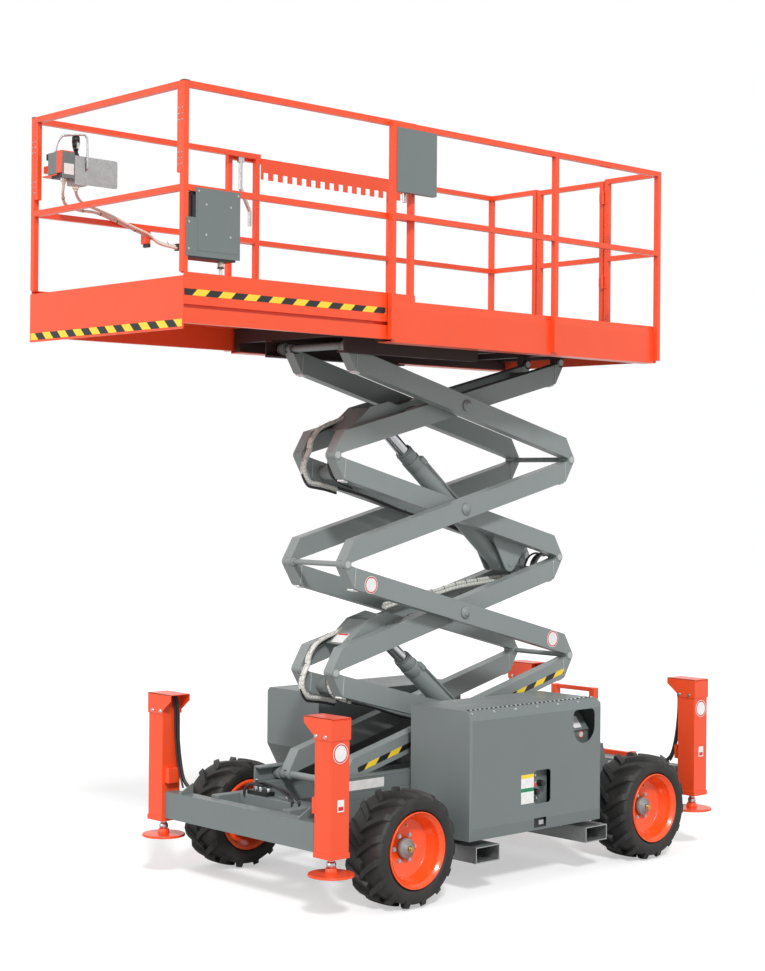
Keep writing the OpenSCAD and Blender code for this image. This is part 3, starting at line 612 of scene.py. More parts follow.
def lug_tree(lug_left, lug_right, material):
    """Tree that turns the two lugs round the wheel: one side, then the other half a step on."""
    tree = bpy.data.node_groups.new("lug_ring", "GeometryNodeTree")
    face = tree.interface
    face.new_socket("Carcass", in_out="INPUT", socket_type="NodeSocketGeometry")
    count = face.new_socket("Lugs", in_out="INPUT", socket_type="NodeSocketInt")
    face.new_socket("Geometry", in_out="OUTPUT", socket_type="NodeSocketGeometry")
    add, link = tree.nodes.new, tree.links.new
    start, end = add("NodeGroupInput"), add("NodeGroupOutput")
    join = add("GeometryNodeJoinGeometry")
    link(start.outputs["Carcass"], join.inputs[0])
    for part, shift in ((lug_left, 0.0), (lug_right, 0.5)):
        line = add("GeometryNodeMeshLine")
        line.inputs["Offset"].default_value = (0, 0, 0)
        link(start.outputs["Lugs"], line.inputs["Count"])
        index = add("GeometryNodeInputIndex")
        moved = add("ShaderNodeMath")
        moved.operation = "ADD"
        moved.inputs[1].default_value = shift
        share = add("ShaderNodeMath")
        share.operation = "DIVIDE"
        turn = add("ShaderNodeMath")
        turn.operation = "MULTIPLY"
        turn.inputs[1].default_value = 2 * math.pi
        vector = add("ShaderNodeCombineXYZ")
        info = add("GeometryNodeObjectInfo")
        info.inputs["Object"].default_value = part
        info.inputs["As Instance"].default_value = True
        spread = add("GeometryNodeInstanceOnPoints")
        link(index.outputs[0], moved.inputs[0])
        link(moved.outputs[0], share.inputs[0])
        link(start.outputs["Lugs"], share.inputs[1])
        link(share.outputs[0], turn.inputs[0])
        link(turn.outputs[0], vector.inputs["Y"])
        link(line.outputs["Mesh"], spread.inputs["Points"])
        link(info.outputs["Geometry"], spread.inputs["Instance"])
        link(vector.outputs["Vector"], spread.inputs["Rotation"])
        link(spread.outputs["Instances"], join.inputs[0])
    real, paint = add("GeometryNodeRealizeInstances"), add("GeometryNodeSetMaterial")
    paint.inputs["Material"].default_value = material
    link(join.outputs[0], real.inputs[0])
    link(real.outputs[0], paint.inputs[0])
    link(paint.outputs[0], end.inputs[0])
    return tree, count.identifier


class LIFT_OT_tyres(Operator):
    """Carcass with sweeping lugs on each wheel"""
    bl_idname = "lift.tyres"
    bl_label = "Tyres"

    def execute(self, context):
        want = context.scene.lift_tyres
        low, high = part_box("tyre_front_left")
        radius = (high.z - low.z) / 2
        half = (high.y - low.y) / 2
        for name, _, middle in wheels():
            bm = bmesh.new()
            lathe(bm, tyre_profile(radius, BEAD, half), Vector(), 1, 120)
            obj = shown("tread_" + name, to_mesh("tread_" + name, bm))
            lugs = []
            for mirror in (1, -1):
                bm = bmesh.new()
                add_lug(bm, radius, half, want.lug_height, mirror)
                lugs.append(hidden_part(f"lug_{name}_{mirror + 1}", bm))
            tree, key = lug_tree(*lugs, FINISH["rubber"])
            mod = obj.modifiers.new("lugs", "NODES")
            mod.node_group = tree
            mod[key] = want.lugs
            settle(obj)
            obj.data.transform(Matrix.Translation(middle))
            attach(obj, "wheel_" + name)
            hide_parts("tyre_" + name)
        return {"FINISHED"}


class LIFT_OT_hubs(Operator):
    """Hub, wheel bolts, centre nut and valve on each rim"""
    bl_idname = "lift.hubs"
    bl_label = "Hubs and wheel bolts"

    def execute(self, context):
        bolt = bolt_part(context.scene.lift_trim.bolt_radius)
        profile = [(0.001, 0.0), (0.057, 0.0), (0.057, 0.026), (0.052, 0.033), (0.036, 0.036),
                   (0.034, 0.046), (0.001, 0.048)]
        for name, s, middle in wheels():
            out = Vector((0, s, 0))
            face = middle + out * RIM_FACE
            bm = bmesh.new()
            lathe(bm, profile, face, s, 40, closed=False)
            piece("hub_" + name, bm, "arm", "wheel_" + name)
            bm = bmesh.new()
            add_rod(bm, face + out * 0.044, face + out * 0.062, 0.019, sides=6)
            add_rod(bm, face + out * 0.06, face + out * 0.07, 0.009, sides=12)
            piece("hub_nut_" + name, bm, "brass", "wheel_" + name)
            turns = [math.radians(60 * k) for k in range(6)]
            spots = [(face + 0.079 * Vector((math.cos(a), 0, math.sin(a))), out) for a in turns]
            scatter("wheel_bolts_" + name, bolt, spots, "zinc", "wheel_" + name, 1.15)
            bm = bmesh.new()
            base = middle + Vector((0.04, s * 0.035, 0.148))
            add_rod(bm, base, base + Vector((-0.012, s * 0.04, -0.012)), 0.005, sides=10)
            add_rod(bm, base + Vector((-0.01, s * 0.034, -0.01)),
                    base + Vector((-0.013, s * 0.047, -0.013)), 0.0062, sides=10)
            piece("valve_" + name, bm, "brass", "wheel_" + name)
        return {"FINISHED"}


# ---- plates and stripes ------------------------------------------------------------


class LIFT_OT_stripes(Operator):
    """Hazard stripes on the front toe plate, the roll-out sides and the lowest arms"""
    bl_idname = "lift.stripes"
    bl_label = "Hazard stripes"

    def execute(self, context):
        low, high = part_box("extension_deck")
        front = bmesh.new()
        add_box(front, (high.x, low.y + 0.01, low.z + 0.012),
                (high.x + 0.001, high.y - 0.004, low.z + 0.05))
        piece("stripe_toe_plate", front, "stripe_front", "extension")
        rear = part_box("guard_rail_left")[1].x + 0.01
        place = stage_place(4, False)
        outline = [(-0.93, -0.031), (-0.16, -0.031), (-0.16, 0.0), (-0.93, 0.0)]
        for side, s in SIDES:
            bm = bmesh.new()
            add_box(bm, (rear, s * high.y, high.z - 0.118),
                    (high.x - 0.01, s * (high.y + 0.001), high.z - 0.085))
            piece("stripe_roll_out_" + side, bm, "stripe_side", "extension")
            bm = bmesh.new()
            y = s * OUTER_ARM[1]
            for shift in (0.0, 1.12):
                corners = [place @ Vector((u + shift, 0, v)) for u, v in outline]
                prism(bm, [(c.x, y, c.z) for c in corners], [(c.x, y + s * 0.001, c.z)
                    for c in corners])
            piece("stripe_arm_" + side, bm, "stripe_arm", "outer_4")
        return {"FINISHED"}


# ---- arms --------------------------------------------------------------------------


def inner_forward(stage):
    return stage % 2 == 0


def on_arm(stage, forward, u, y, v):
    """Point of an arm of a stage: u along it from its middle, v across it."""
    spot = stage_place(stage, forward) @ Vector((u, 0, v))
    return Vector((spot.x, y, spot.z))


def add_patch(bm, corners, thick, mat=0):
    """A thin plate on four or more corners that lie in one plane."""
    corners = [Vector(c) for c in corners]
    normal = (corners[1] - corners[0]).cross(corners[2] - corners[0]).normalized() * thick
    prism(bm, corners, [c + normal for c in corners], mat)


def add_disc(bm, centre, normal, radius, thick, mat=0, inner=0.0, sides=40):
    """A flat disc, or a ring when it has an inner radius."""
    centre, normal = Vector(centre), Vector(normal).normalized()
    side = normal.orthogonal().normalized()
    other = normal.cross(side)
    spots = ((0, inner), (thick, inner), (thick, radius), (0, radius))
    rings = [ring(bm, centre + normal * lift, side, other, r, sides)
             for lift, r in (spots if inner else spots[1:])]
    for one, two in zip(rings, rings[1:]):
        bridge(bm, one, two, mat)
    if inner:
        bridge(bm, rings[-1], rings[0], mat)
    else:
        for cap in (rings[0], rings[-1]):
            bm.faces.new(cap).material_index = mat


class LIFT_OT_arm_ends(Operator):
    """Caps on the centre pins, welded seams in a lighter grey that paints a highlight on the bend,
    end discs and pads of the arms
    """
    bl_idname = "lift.arm_ends"
    bl_label = "Arm ends and pins"

    def execute(self, context):
        cap = [(0.0365, 0.0), (0.0365, 0.003), (0.033, 0.006), (0.022, 0.0075), (0.0205, 0.0115),
               (0.012, 0.013), (0.0006, 0.0135)]
        for stage in STAGES:
            forward = inner_forward(stage)
            caps = bmesh.new()
            centre = PIVOT[f"centre_{stage}"]
            for s in (1, -1):
                face = Vector((centre.x, s * (OUTER_ARM[1] + 0.0045), centre.z))
                lathe(caps, cap, face, s, 36, closed=False)
                block(caps, (face.x + 0.004, face.x + 0.018), (face.y, face.y + s * 0.01),
                      (face.z - 0.012, face.z - 0.006))
            piece(f"centre_caps_{stage}", caps, "arm", f"inner_{stage}")
            for kind, way, faces in (("inner", forward, INNER_ARM),
                    ("outer", not forward, OUTER_ARM)):
                seams, pads = bmesh.new(), bmesh.new()
                down = on_arm(stage, way, 0, 0, -1) - on_arm(stage, way, 0, 0, 0)
                for s in (1, -1):
                    for face, out in zip(faces, (-1, 1)):
                        y = s * (face + out * 0.0003)
                        step = Vector((0, s * out * 0.0014, 0))
                        # seam beads and pin discs take the light grey finish, a painted highlight
                        # on the bend edge
                        a = on_arm(stage, way, HALF - 0.088, y, -0.057)
                        b = on_arm(stage, way, HALF - 0.069, y, 0.056)
                        bead = [a.lerp(b, k / 8) + step * (0.4 + 0.6 * (k % 2)) for k in range(9)]
                        add_sweep(seams, bead, 0.0026, sides=6)
                        pin = on_arm(stage, way, HALF, y, PIN_OFF)
                        add_disc(seams, pin, (0, s * out, 0), 0.021, 0.0026, sides=24)
                    y0, y1 = sorted((s * (faces[0] + 0.012), s * (faces[1] - 0.012)))
                    u0, u1 = HALF - 0.13, HALF - 0.09
                    plan = ((u0, y0), (u1, y0), (u1, y1), (u0, y1))
                    corners = [on_arm(stage, way, u, y, -0.0612) for u, y in plan]
                    prism(pads, [c + down * 0.011 for c in corners], corners)
                piece(f"seams_{kind}_{stage}", seams, "weld", f"{kind}_{stage}")
                piece(f"pads_{kind}_{stage}", pads, "white", f"{kind}_{stage}", bevel=0.002)
        return {"FINISHED"}


def tied_hose(name, path, radius, finish, ties, body, blend=None, pitch=0.09):
    """A hose or bundle along a path, with black ties round it every pitch."""
    line = smooth_path(path, 8)
    bm = bmesh.new()
    add_sweep(bm, line, radius, 0, 12)
    if ties:
        run = 0.0
        for a, b in zip(line, line[1:]):
            run += (b - a).length
            if run > pitch:
                run = 0.0
                along = (b - a).normalized()
                add_rod(bm, a - along * 0.0022, a + along * 0.0022, radius + 0.0016, 1, 14)
                add_rod(bm, a + Vector((0, 0, radius)), a + Vector((0.004, 0.003, radius + 0.012)),
                        0.0013, 1, 6)
    obj = piece(name, bm, [finish, "tie"], None if blend else body)
    if blend:
        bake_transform(obj)


def about(pin, y, points):
    """Points in the plane at y, given by their offsets (x, z) from a pin."""
    return [Vector((pin.x + x, y, pin.z + z)) for x, z in points]


class LIFT_OT_arm_hoses(Operator):
    """Wrapped hose bundles that run along the arms and loop round the front pins"""
    bl_idname = "lift.arm_hoses"
    bl_label = "Hoses on the arms"

    def front_loops(self, level, pin, upper, lower, near_radius, near_finish):
        """The bundles that come down from one pair of arms to the next round a front pin."""
        path = about(pin, -0.085, [
            (-0.47, 0.232), (-0.37, 0.229), (-0.284, 0.223), (-0.202, 0.196), (-0.129, 0.172),
            (-0.069, 0.14), (-0.02, 0.082), (-0.004, 0.019), (0.028, -0.038), (0.038, -0.106),
            (-0.002, -0.165), (-0.072, -0.18), (-0.139, -0.19), (-0.23, -0.21)])
        bind = (lower, *about(pin, -0.085, [(-0.01, 0.06), (0.02, -0.1)]))
        for k, (dy, dz, radius, finish) in enumerate((
                (0.0, 0.0, 0.0125, "wrap"), (0.018, 0.008, 0.0125, "wrap"),
                (0.004, -0.016, 0.008, "hose"))):
            shifted = [p + Vector((0, dy, dz)) for p in path]
            tied_hose(f"loop_{level}_{k}", shifted, radius, finish, k == 0, upper, bind, 0.075)
        near = about(pin, 0.094, [
            (-0.724, 0.306), (-0.624, 0.28), (-0.505, 0.25), (-0.387, 0.216), (-0.291, 0.187),
            (-0.19, 0.16), (-0.11, 0.136), (-0.07, 0.11), (-0.04, 0.06), (-0.02, -0.005),
            (-0.018, -0.07), (-0.045, -0.13), (-0.11, -0.168), (-0.2, -0.195)])
        bind = (lower, *about(pin, 0.094, [(-0.04, 0.06), (-0.02, -0.07)]))
        tied_hose(f"near_{level}_hose", near, near_radius, near_finish, True, upper, bind, 0.06)
        lead = [p + Vector((0, -0.014, 0.004)) for p in near]
        tied_hose(f"near_{level}_lead", lead, 0.0045, "hose", False, upper, bind)

    def execute(self, context):
        for level, stage, *near in (("upper", 1, 0.006, "hose"), ("lower", 3, 0.009, "wrap")):
            lower = f"inner_{stage + 1}"
            self.front_loops(level, PIVOT[f"stage_{stage}"], f"inner_{stage}", lower, *near)
            way = inner_forward(stage + 1)
            under = [on_arm(stage + 1, way, u, -0.088, -0.062 - 0.006 * math.sin(u * 9))
                     for u in (HALF - 0.26 - 0.14 * k for k in range(10))]
            for k in range(3):
                shifted = [p + Vector((0, 0.016 * k, -0.002 * k)) for p in under]
                tied_hose(f"under_{level}_{k}", shifted, 0.008, "hose", k == 1, lower, None, 0.2)
        rear = PIVOT["stage_2"]
        far = about(rear, -0.085, [
            (1.35, -0.29), (1.15, -0.25), (0.937, -0.224), (0.871, -0.215), (0.772, -0.195),
            (0.66, -0.179), (0.501, -0.164), (0.374, -0.152), (0.28, -0.147), (0.2, -0.15)])
        for k, (dy, dz) in enumerate(((0.0, 0.0), (0.02, -0.004), (0.008, 0.016))):
            shifted = [p + Vector((0, dy, dz)) for p in far]
            tied_hose(f"far_run_{k}", shifted, 0.012, "wrap", k == 2, "inner_3", None, 0.1)
        thin = about(rear, 0.098, [(1.1, -0.288), (0.925, -0.242), (0.826, -0.215), (0.693, -0.185),
            (0.4, -0.12)])
        tied_hose("thin_run", thin, 0.004, "hose", True, "inner_3", None, 0.12)
        for k, (dx, y, radius, finish) in enumerate((
                (0.0, 0.03, 0.0065, "hose"), (-0.02, 0.05, 0.009, "wrap"),
                (0.02, 0.065, 0.0065, "hose"), (0.035, 0.01, 0.0065, "hose"))):
            arch = about(rear, y, [
                (0.3 + dx, -0.16), (0.2 + dx, -0.125), (0.125 + dx, -0.085), (0.1 + dx, -0.03),
                (0.055 + dx, 0.008), (-0.005 + dx, 0.02), (-0.06 + dx / 2, 0.002), (-0.075, 0.03),
                (0.0, 0.075), (0.2, 0.15 + dx)])
            bind = ("inner_2", *about(rear, y, [(0.1, -0.03), (-0.06, 0.0)]))
            tied_hose(f"rear_arch_{k}", arch, radius, finish, False, "inner_3", bind)
        return {"FINISHED"}


class LIFT_OT_signs(Operator):
    """Plain round and square plates without words"""
    bl_idname = "lift.signs"
    bl_label = "Blank signs and plates"

    def round_sign(self, name, centre, normal, radius, body):
        bm = bmesh.new()
        normal = Vector(normal)
        add_disc(bm, centre, normal, radius, 0.0012, 0)
        add_disc(bm, Vector(centre) + normal * 0.0011, normal, radius * 0.93, 0.0004, 1,
                 radius * 0.8)
        piece(name, bm, ["white", "red"], body)

    def execute(self, context):
        column_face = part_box("outrigger_columns")[1].y
        for side, s in SIDES:
            y = s * (OUTER_ARM[1] + 0.0004)
            self.round_sign("sign_arm_front_" + side, (0.876 + X0, y, 1.777), (0, s, 0), 0.052,
                            "outer_3")
            self.round_sign("sign_arm_rear_" + side, (-0.748 + X0, y, 1.379), (0, s, 0), 0.054,
                            "outer_3")
            for end, e in ENDS:
                spot = (e * 1.607 + X0, s * (column_face + 0.0004), 0.915)
                self.round_sign(f"sign_column_{end}_{side}", spot, (0, s, 0), 0.055, "chassis")
        start = Vector((HEAD_PIN.x - 0.326, 0.041))
        along = (Vector((HEAD_PIN.x - 0.176, 0.109)) - start).normalized()
        out = Vector((-along.y, along.x))
        bm = bmesh.new()
        for mat, thick, lift, t0, t1, y0, y1 in (
                (0, 0.001, 0.0004, 0.012, 0.09, -0.055, 0.045),
                (1, 0.0003, 0.0016, 0.076, 0.088, -0.05, 0.04)):
            corners = []
            for t, y in ((t0, y0), (t0, y1), (t1, y1), (t1, y0)):
                q = start + along * t + out * lift
                corners.append(on_arm(3, False, q.x, y, q.y))
            add_patch(bm, corners, thick, mat)
        piece("crosshead_plate", bm, ["white", "red"], "inner_3")
        return {"FINISHED"}


# ---- forms ---------------------------------------------------------------------------


def slab(bm, outline, axis, low, high):
    """An outline made thick along an axis: (x, z) along y, (y, z) along x, (x, y) along z."""
    def spot(u, v, w):
        return {"x": (w, u, v), "y": (u, w, v), "z": (u, v, w)}[axis]
    prism(bm, [spot(u, v, low) for u, v in outline], [spot(u, v, high) for u, v in outline])


def carve(obj, cutters):
    """Cuts closed meshes out of an object and keeps the result as its mesh."""
    spare = []
    for k, bm in enumerate(cutters):
        tool = hidden_part(f"{obj.name}_cutter_{k}", bm)
        bpy.context.scene.collection.objects.link(tool)
        spare.append(tool)
        mod = obj.modifiers.new(f"cut_{k}", "BOOLEAN")
        mod.operation = "DIFFERENCE"
        mod.solver = "EXACT"
        mod.object = tool
    settle(obj)
    for tool in spare:
        mesh = tool.data
        bpy.data.objects.remove(tool)
        bpy.data.meshes.remove(mesh)


def block(bm, x, y, z, mat=0):
    """A box from three ranges."""
    add_box(bm, (min(x), min(y), min(z)), (max(x), max(y), max(z)), mat)


def middle_block(bm, x, y, z, mat=0):
    """A box whose x is counted from the middle of the wheelbase."""
    block(bm, [v + X0 for v in x], y, z, mat)


def both_blocks(bm, x, y, z):
    """The same box on both sides, its x counted from the middle of the wheelbase."""
    for s in (1, -1):
        middle_block(bm, x, [s * v for v in y], z)


def tube_walls(low, high, wall):
    """The four walls of a square tube, as corners in the plane that it is cut by."""
    (a, b), (c, d) = low, high
    return (((a, b), (c, b + wall)), ((a, d - wall), (c, d)),
            ((a, b + wall), (a + wall, d - wall)), ((c - wall, b + wall), (c, d - wall)))

def arc(centre, radius, start, end, steps):
    return [Vector((centre[0] + radius * math.cos(a), centre[1] + radius * math.sin(a)))
            for a in (start + (end - start) * k / steps for k in range(steps + 1))]


def round_box(x0, z0, x1, z1, r, steps=6):
    """Outline of a box with round corners."""
    out = []
    for cx, cz, a in ((x1 - r, z1 - r, 0), (x0 + r, z1 - r, 90), (x0 + r, z0 + r, 180),
                      (x1 - r, z0 + r, 270)):
        out += arc((cx, cz), r, math.radians(a), math.radians(a + 90), steps)
    return out


HEAD_PIN = Vector((
    -HALF + 0.53 * math.cos(STOW_ANGLE) - 0.09 * math.sin(STOW_ANGLE),
    -PIN_OFF + 0.53 * math.sin(STOW_ANGLE) + 0.09 * math.cos(STOW_ANGLE)))
BASE_PIN = Vector((
    HALF - 1.727 * math.cos(STOW_ANGLE) + 0.155 * math.sin(STOW_ANGLE),
    PIN_OFF - 1.727 * math.sin(STOW_ANGLE) - 0.155 * math.cos(STOW_ANGLE)))
HEAD_R = 0.03
SLOT_R = 0.0315


def arm_outlines():
    """Body of an arm with round recesses at its pins, and the head at its lower end."""
    d = ARM_DEPTH / 2
    pin = Vector((-HALF, -PIN_OFF))
    upper = Vector((-HALF + 0.085, d))
    lower = Vector((-HALF + 0.068, -d))
    line = upper - pin
    touch = math.atan2(line.y, line.x) + math.acos(HEAD_R / line.length)
    high = touch - math.acos(HEAD_R / SLOT_R)
    low = math.atan2(lower.y - pin.y, lower.x - pin.x)
    recess = arc(pin, SLOT_R, low, high, 14)
    end = [lower] + recess + [upper]
    head = recess + arc(pin, HEAD_R, touch, low + 2 * math.pi, 24)
    return end + [-q for q in end], head


def arm_slab(bm, stage, way, outline, y0, y1):
    """An outline in an arm's own (u, v) made thick across the machine."""
    place = stage_place(stage, way)
    flat = [place @ Vector((q[0], 0, q[1])) for q in outline]
    slab(bm, [(q.x, q.z) for q in flat], "y", y0, y1)


def both_slabs(bm, stage, way, outline, y0, y1):
    for s in (1, -1):
        arm_slab(bm, stage, way, outline, *sorted((s * y0, s * y1)))


def arm_pair(bm, stage, way, faces):
    """Two arms: slotted at the lower end, with a tongue at the upper end."""
    body, head = arm_outlines()
    y0, y1 = faces
    middle = (y0 + y1) / 2
    both_slabs(bm, stage, way, body, y0, y1)
    both_slabs(bm, stage, way, head, y0, middle - 0.015)
    both_slabs(bm, stage, way, head, middle + 0.015, y1)
    both_slabs(bm, stage, way, [-q for q in head], middle - 0.014, middle + 0.014)


def across_arm(bm, stage, way, u, v, radius, y0, y1):
    """A round bar across the machine, through a point of an arm."""
    add_rod(bm, on_arm(stage, way, u, y0, v), on_arm(stage, way, u, y1, v), radius, 0, 32)


def both_bars(bm, stage, way, u, v, radius, y0, y1):
    for s in (1, -1):
        across_arm(bm, stage, way, u, v, radius, s * y0, s * y1)


class LIFT_OT_arms(Operator):
    """Arms with closed slanting ends, slots, tongues, crossheads and hangers"""
    bl_idname = "lift.arms"
    bl_label = "Arms"

    plate = (0.086, 0.098)
    spacer = (0.0975, 0.107)
    cross_tube = (0.042, -0.107, 0.107)

    def crosshead(self, bm, stage):
        d = ARM_DEPTH / 2
        h = HEAD_PIN.x
        side = [(h - 0.33, d - 0.02), (h - 0.12, d + 0.075), (h + 0.036, d + 0.075), (h + 0.175, d),
                (h + 0.06, 0.04 - d), (h - 0.06, 0.04 - d)]
        both_slabs(bm, stage, False, side, *self.plate)
        inner = [(h - 0.3, d - 0.024), (h + 0.165, d - 0.008), (h + 0.06, 0.044 - d),
                 (h - 0.06, 0.044 - d)]
        both_slabs(bm, stage, False, inner, *self.spacer)
        top = [(h - 0.326, d - 0.02), (h - 0.123, d + 0.072), (h - 0.12, d + 0.065),
               (h - 0.323, d - 0.027)]
        arm_slab(bm, stage, False, top, -0.087, 0.087)
        both_bars(bm, stage, False, HEAD_PIN.x, HEAD_PIN.y, 0.046, 0.078, 0.0865)

    def hanger(self, bm, stage):
        d = ARM_DEPTH / 2
        b = BASE_PIN
        side = [(b.x - 0.11, 0.03 - d), (b.x + 0.19, 0.03 - d), (b.x + 0.19, -d - 0.02)]
        side += arc(b, 0.05, math.radians(-35), math.radians(-165), 14)
        side += [(b.x - 0.11, -d - 0.01)]
        both_slabs(bm, stage, True, side, *self.plate)
        inner = [(b.x - 0.1, 0.002 - d), (b.x + 0.18, 0.002 - d), (b.x + 0.18, 0.028 - d),
                 (b.x - 0.1, 0.028 - d)]
        both_slabs(bm, stage, True, inner, *self.spacer)
        across_arm(bm, stage, True, b.x, b.y, 0.02, -0.104, 0.104)

    def execute(self, context):
        tube_end = HALF - 0.165
        for stage in STAGES:
            way = inner_forward(stage)
            bm = bmesh.new()
            arm_pair(bm, stage, way, INNER_ARM)
            across_arm(bm, stage, way, tube_end, 0, *self.cross_tube)
            both_bars(bm, stage, way, 0, 0, 0.026, 0.18, 0.278)
            both_bars(bm, stage, way, 0, 0, 0.036, 0.277, 0.281)
            both_bars(bm, stage, way, HALF, PIN_OFF, 0.022, *INNER_ARM)
            if way:
                across_arm(bm, stage, way, -tube_end, 0, *self.cross_tube)
                self.hanger(bm, stage)
            else:
                self.crosshead(bm, stage)
            obj = piece(f"inner_pair_{stage}", bm, "arm", f"inner_{stage}",
                        bevel=0.0022)
            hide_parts(f"inner_arms_{stage}")
            bm = bmesh.new()
            way = not way
            arm_pair(bm, stage, way, OUTER_ARM)
            across_arm(bm, stage, way, HALF, PIN_OFF, 0.016, -0.201, 0.201)
            both_bars(bm, stage, way, HALF, PIN_OFF, 0.022, *OUTER_ARM)
            ends = {1: (HALF, PIN_OFF), 4: (-HALF, -PIN_OFF)}
            if stage in ends:
                u, v = ends[stage]
                across_arm(bm, stage, way, u, v, 0.022, -0.289, 0.289)
                both_bars(bm, stage, way, u, v, 0.038, 0.288, 0.33)
            obj = piece(f"outer_pair_{stage}", bm, "arm", f"outer_{stage}",
                        bevel=0.0022)
            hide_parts(f"outer_arms_{stage}")
        return {"FINISHED"}


class LIFT_OT_cylinders(Operator):
    """Barrels with band, gland, ports and pipe, and their chromed rods"""
    bl_idname = "lift.cylinders"
    bl_label = "Lift cylinders"

    def execute(self, context):
        for name, stage in (("upper", 2), ("lower", 4)):
            start = on_arm(stage, True, BASE_PIN.x, 0, BASE_PIN.y)
            line = on_arm(stage - 1, False, HEAD_PIN.x, 0, HEAD_PIN.y) - start
            angle = math.atan2(line.z, line.x) - math.radians(0.63)
            reach = line.length - 0.0067
            length = reach * 0.787
            place = Matrix.Translation(start) @ Matrix.Rotation(-angle, 4, "Y")
            bm = bmesh.new()
            add_rod(bm, (0, -0.05, 0), (0, 0.05, 0), 0.046, 0, 32)
            for a, b, r in ((0.03, length - 0.08, 0.057), (length - 0.15, length - 0.08, 0.0585),
                            (length - 0.081, length - 0.012, 0.0545), (length - 0.012, length,
                                0.051)):
                add_rod(bm, (a, 0, 0), (b, 0, 0), r, 0, 48)
            pipe = [(0.09, 0.046), (0.13, 0.047), (length * 0.5, 0.047), (length - 0.2, 0.047),
                    (length - 0.13, 0.046)]
            add_sweep(bm, smooth_path([(u, w, w) for u, w in pipe]), 0.008)
            for a, b in ((length - 0.17, length - 0.11), (0.07, 0.11)):
                add_box(bm, (a, 0.02, 0.02), (b, 0.06, 0.054), 0, 0.004)
            bm.transform(place)
            obj = piece("cylinder_" + name, bm, "arm", "barrel_" + name, bevel=0.0015)
            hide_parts("barrel_" + name)
            bm = bmesh.new()
            add_rod(bm, (reach - reach * 0.7827, 0, 0), (reach - 0.08, 0, 0), 0.04, 0, 48)
            add_rod(bm, (reach - 0.082, 0, 0), (reach, 0, 0), 0.029, 0, 32)
            for y, r, sides in ((0.034, 0.032, 32), (0.064, 0.02, 24)):
                add_rod(bm, (reach, -y, 0), (reach, y, 0), r, 0, sides)
            bm.transform(place)
            obj = piece("piston_" + name, bm, "chrome", "rod_" + name, bevel=0.0015)
            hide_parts("rod_" + name)
        return {"FINISHED"}


class LIFT_OT_rims(Operator):
    """Rims with a drop centre, two flanges and a deep-set disc"""
    bl_idname = "lift.rims"
    bl_label = "Rims"

    def execute(self, context):
        low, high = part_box("tyre_front_left")
        half = (high.y - low.y) / 2
        edge, seat, well = 0.216, 0.196, 0.18
        profile = [(edge, -half + 0.017), (seat, -half + 0.017), (seat, -half + 0.052),
                   (well, -half + 0.064),
                   (well, half - 0.064), (seat, half - 0.052), (seat, half - 0.017),
                   (edge, half - 0.017),
                   (edge, half - 0.005), (edge - 0.002, half - 0.002), (edge - 0.006, half - 0.002),
                   (edge - 0.008, half - 0.006), (edge - 0.009, half - 0.012),
                   (seat - 0.006, half - 0.017),
                   (seat - 0.009, half - 0.03), (seat - 0.012, half - 0.06),
                   (well - 0.008, half - 0.075),
                   (well - 0.012, 0.04), (well - 0.018, 0.034), (0.112, 0.034), (0.104, 0.032),
                   (0.09, 0.026),
                   (0.0256, 0.028), (0.0256, 0.018), (0.09, 0.018), (0.11, 0.026),
                   (well - 0.01, 0.026),
                   (well - 0.006, -half + 0.067), (seat - 0.006, -half + 0.055),
                   (seat - 0.006, -half + 0.01),
                   (edge, -half + 0.01)]
        for name, s, middle in wheels():
            bm = bmesh.new()
            lathe(bm, profile, middle, s, 96)
            obj = piece("rim_dressed_" + name, bm, "rim", "wheel_" + name)
            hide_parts("rim_" + name)
        return {"FINISHED"}


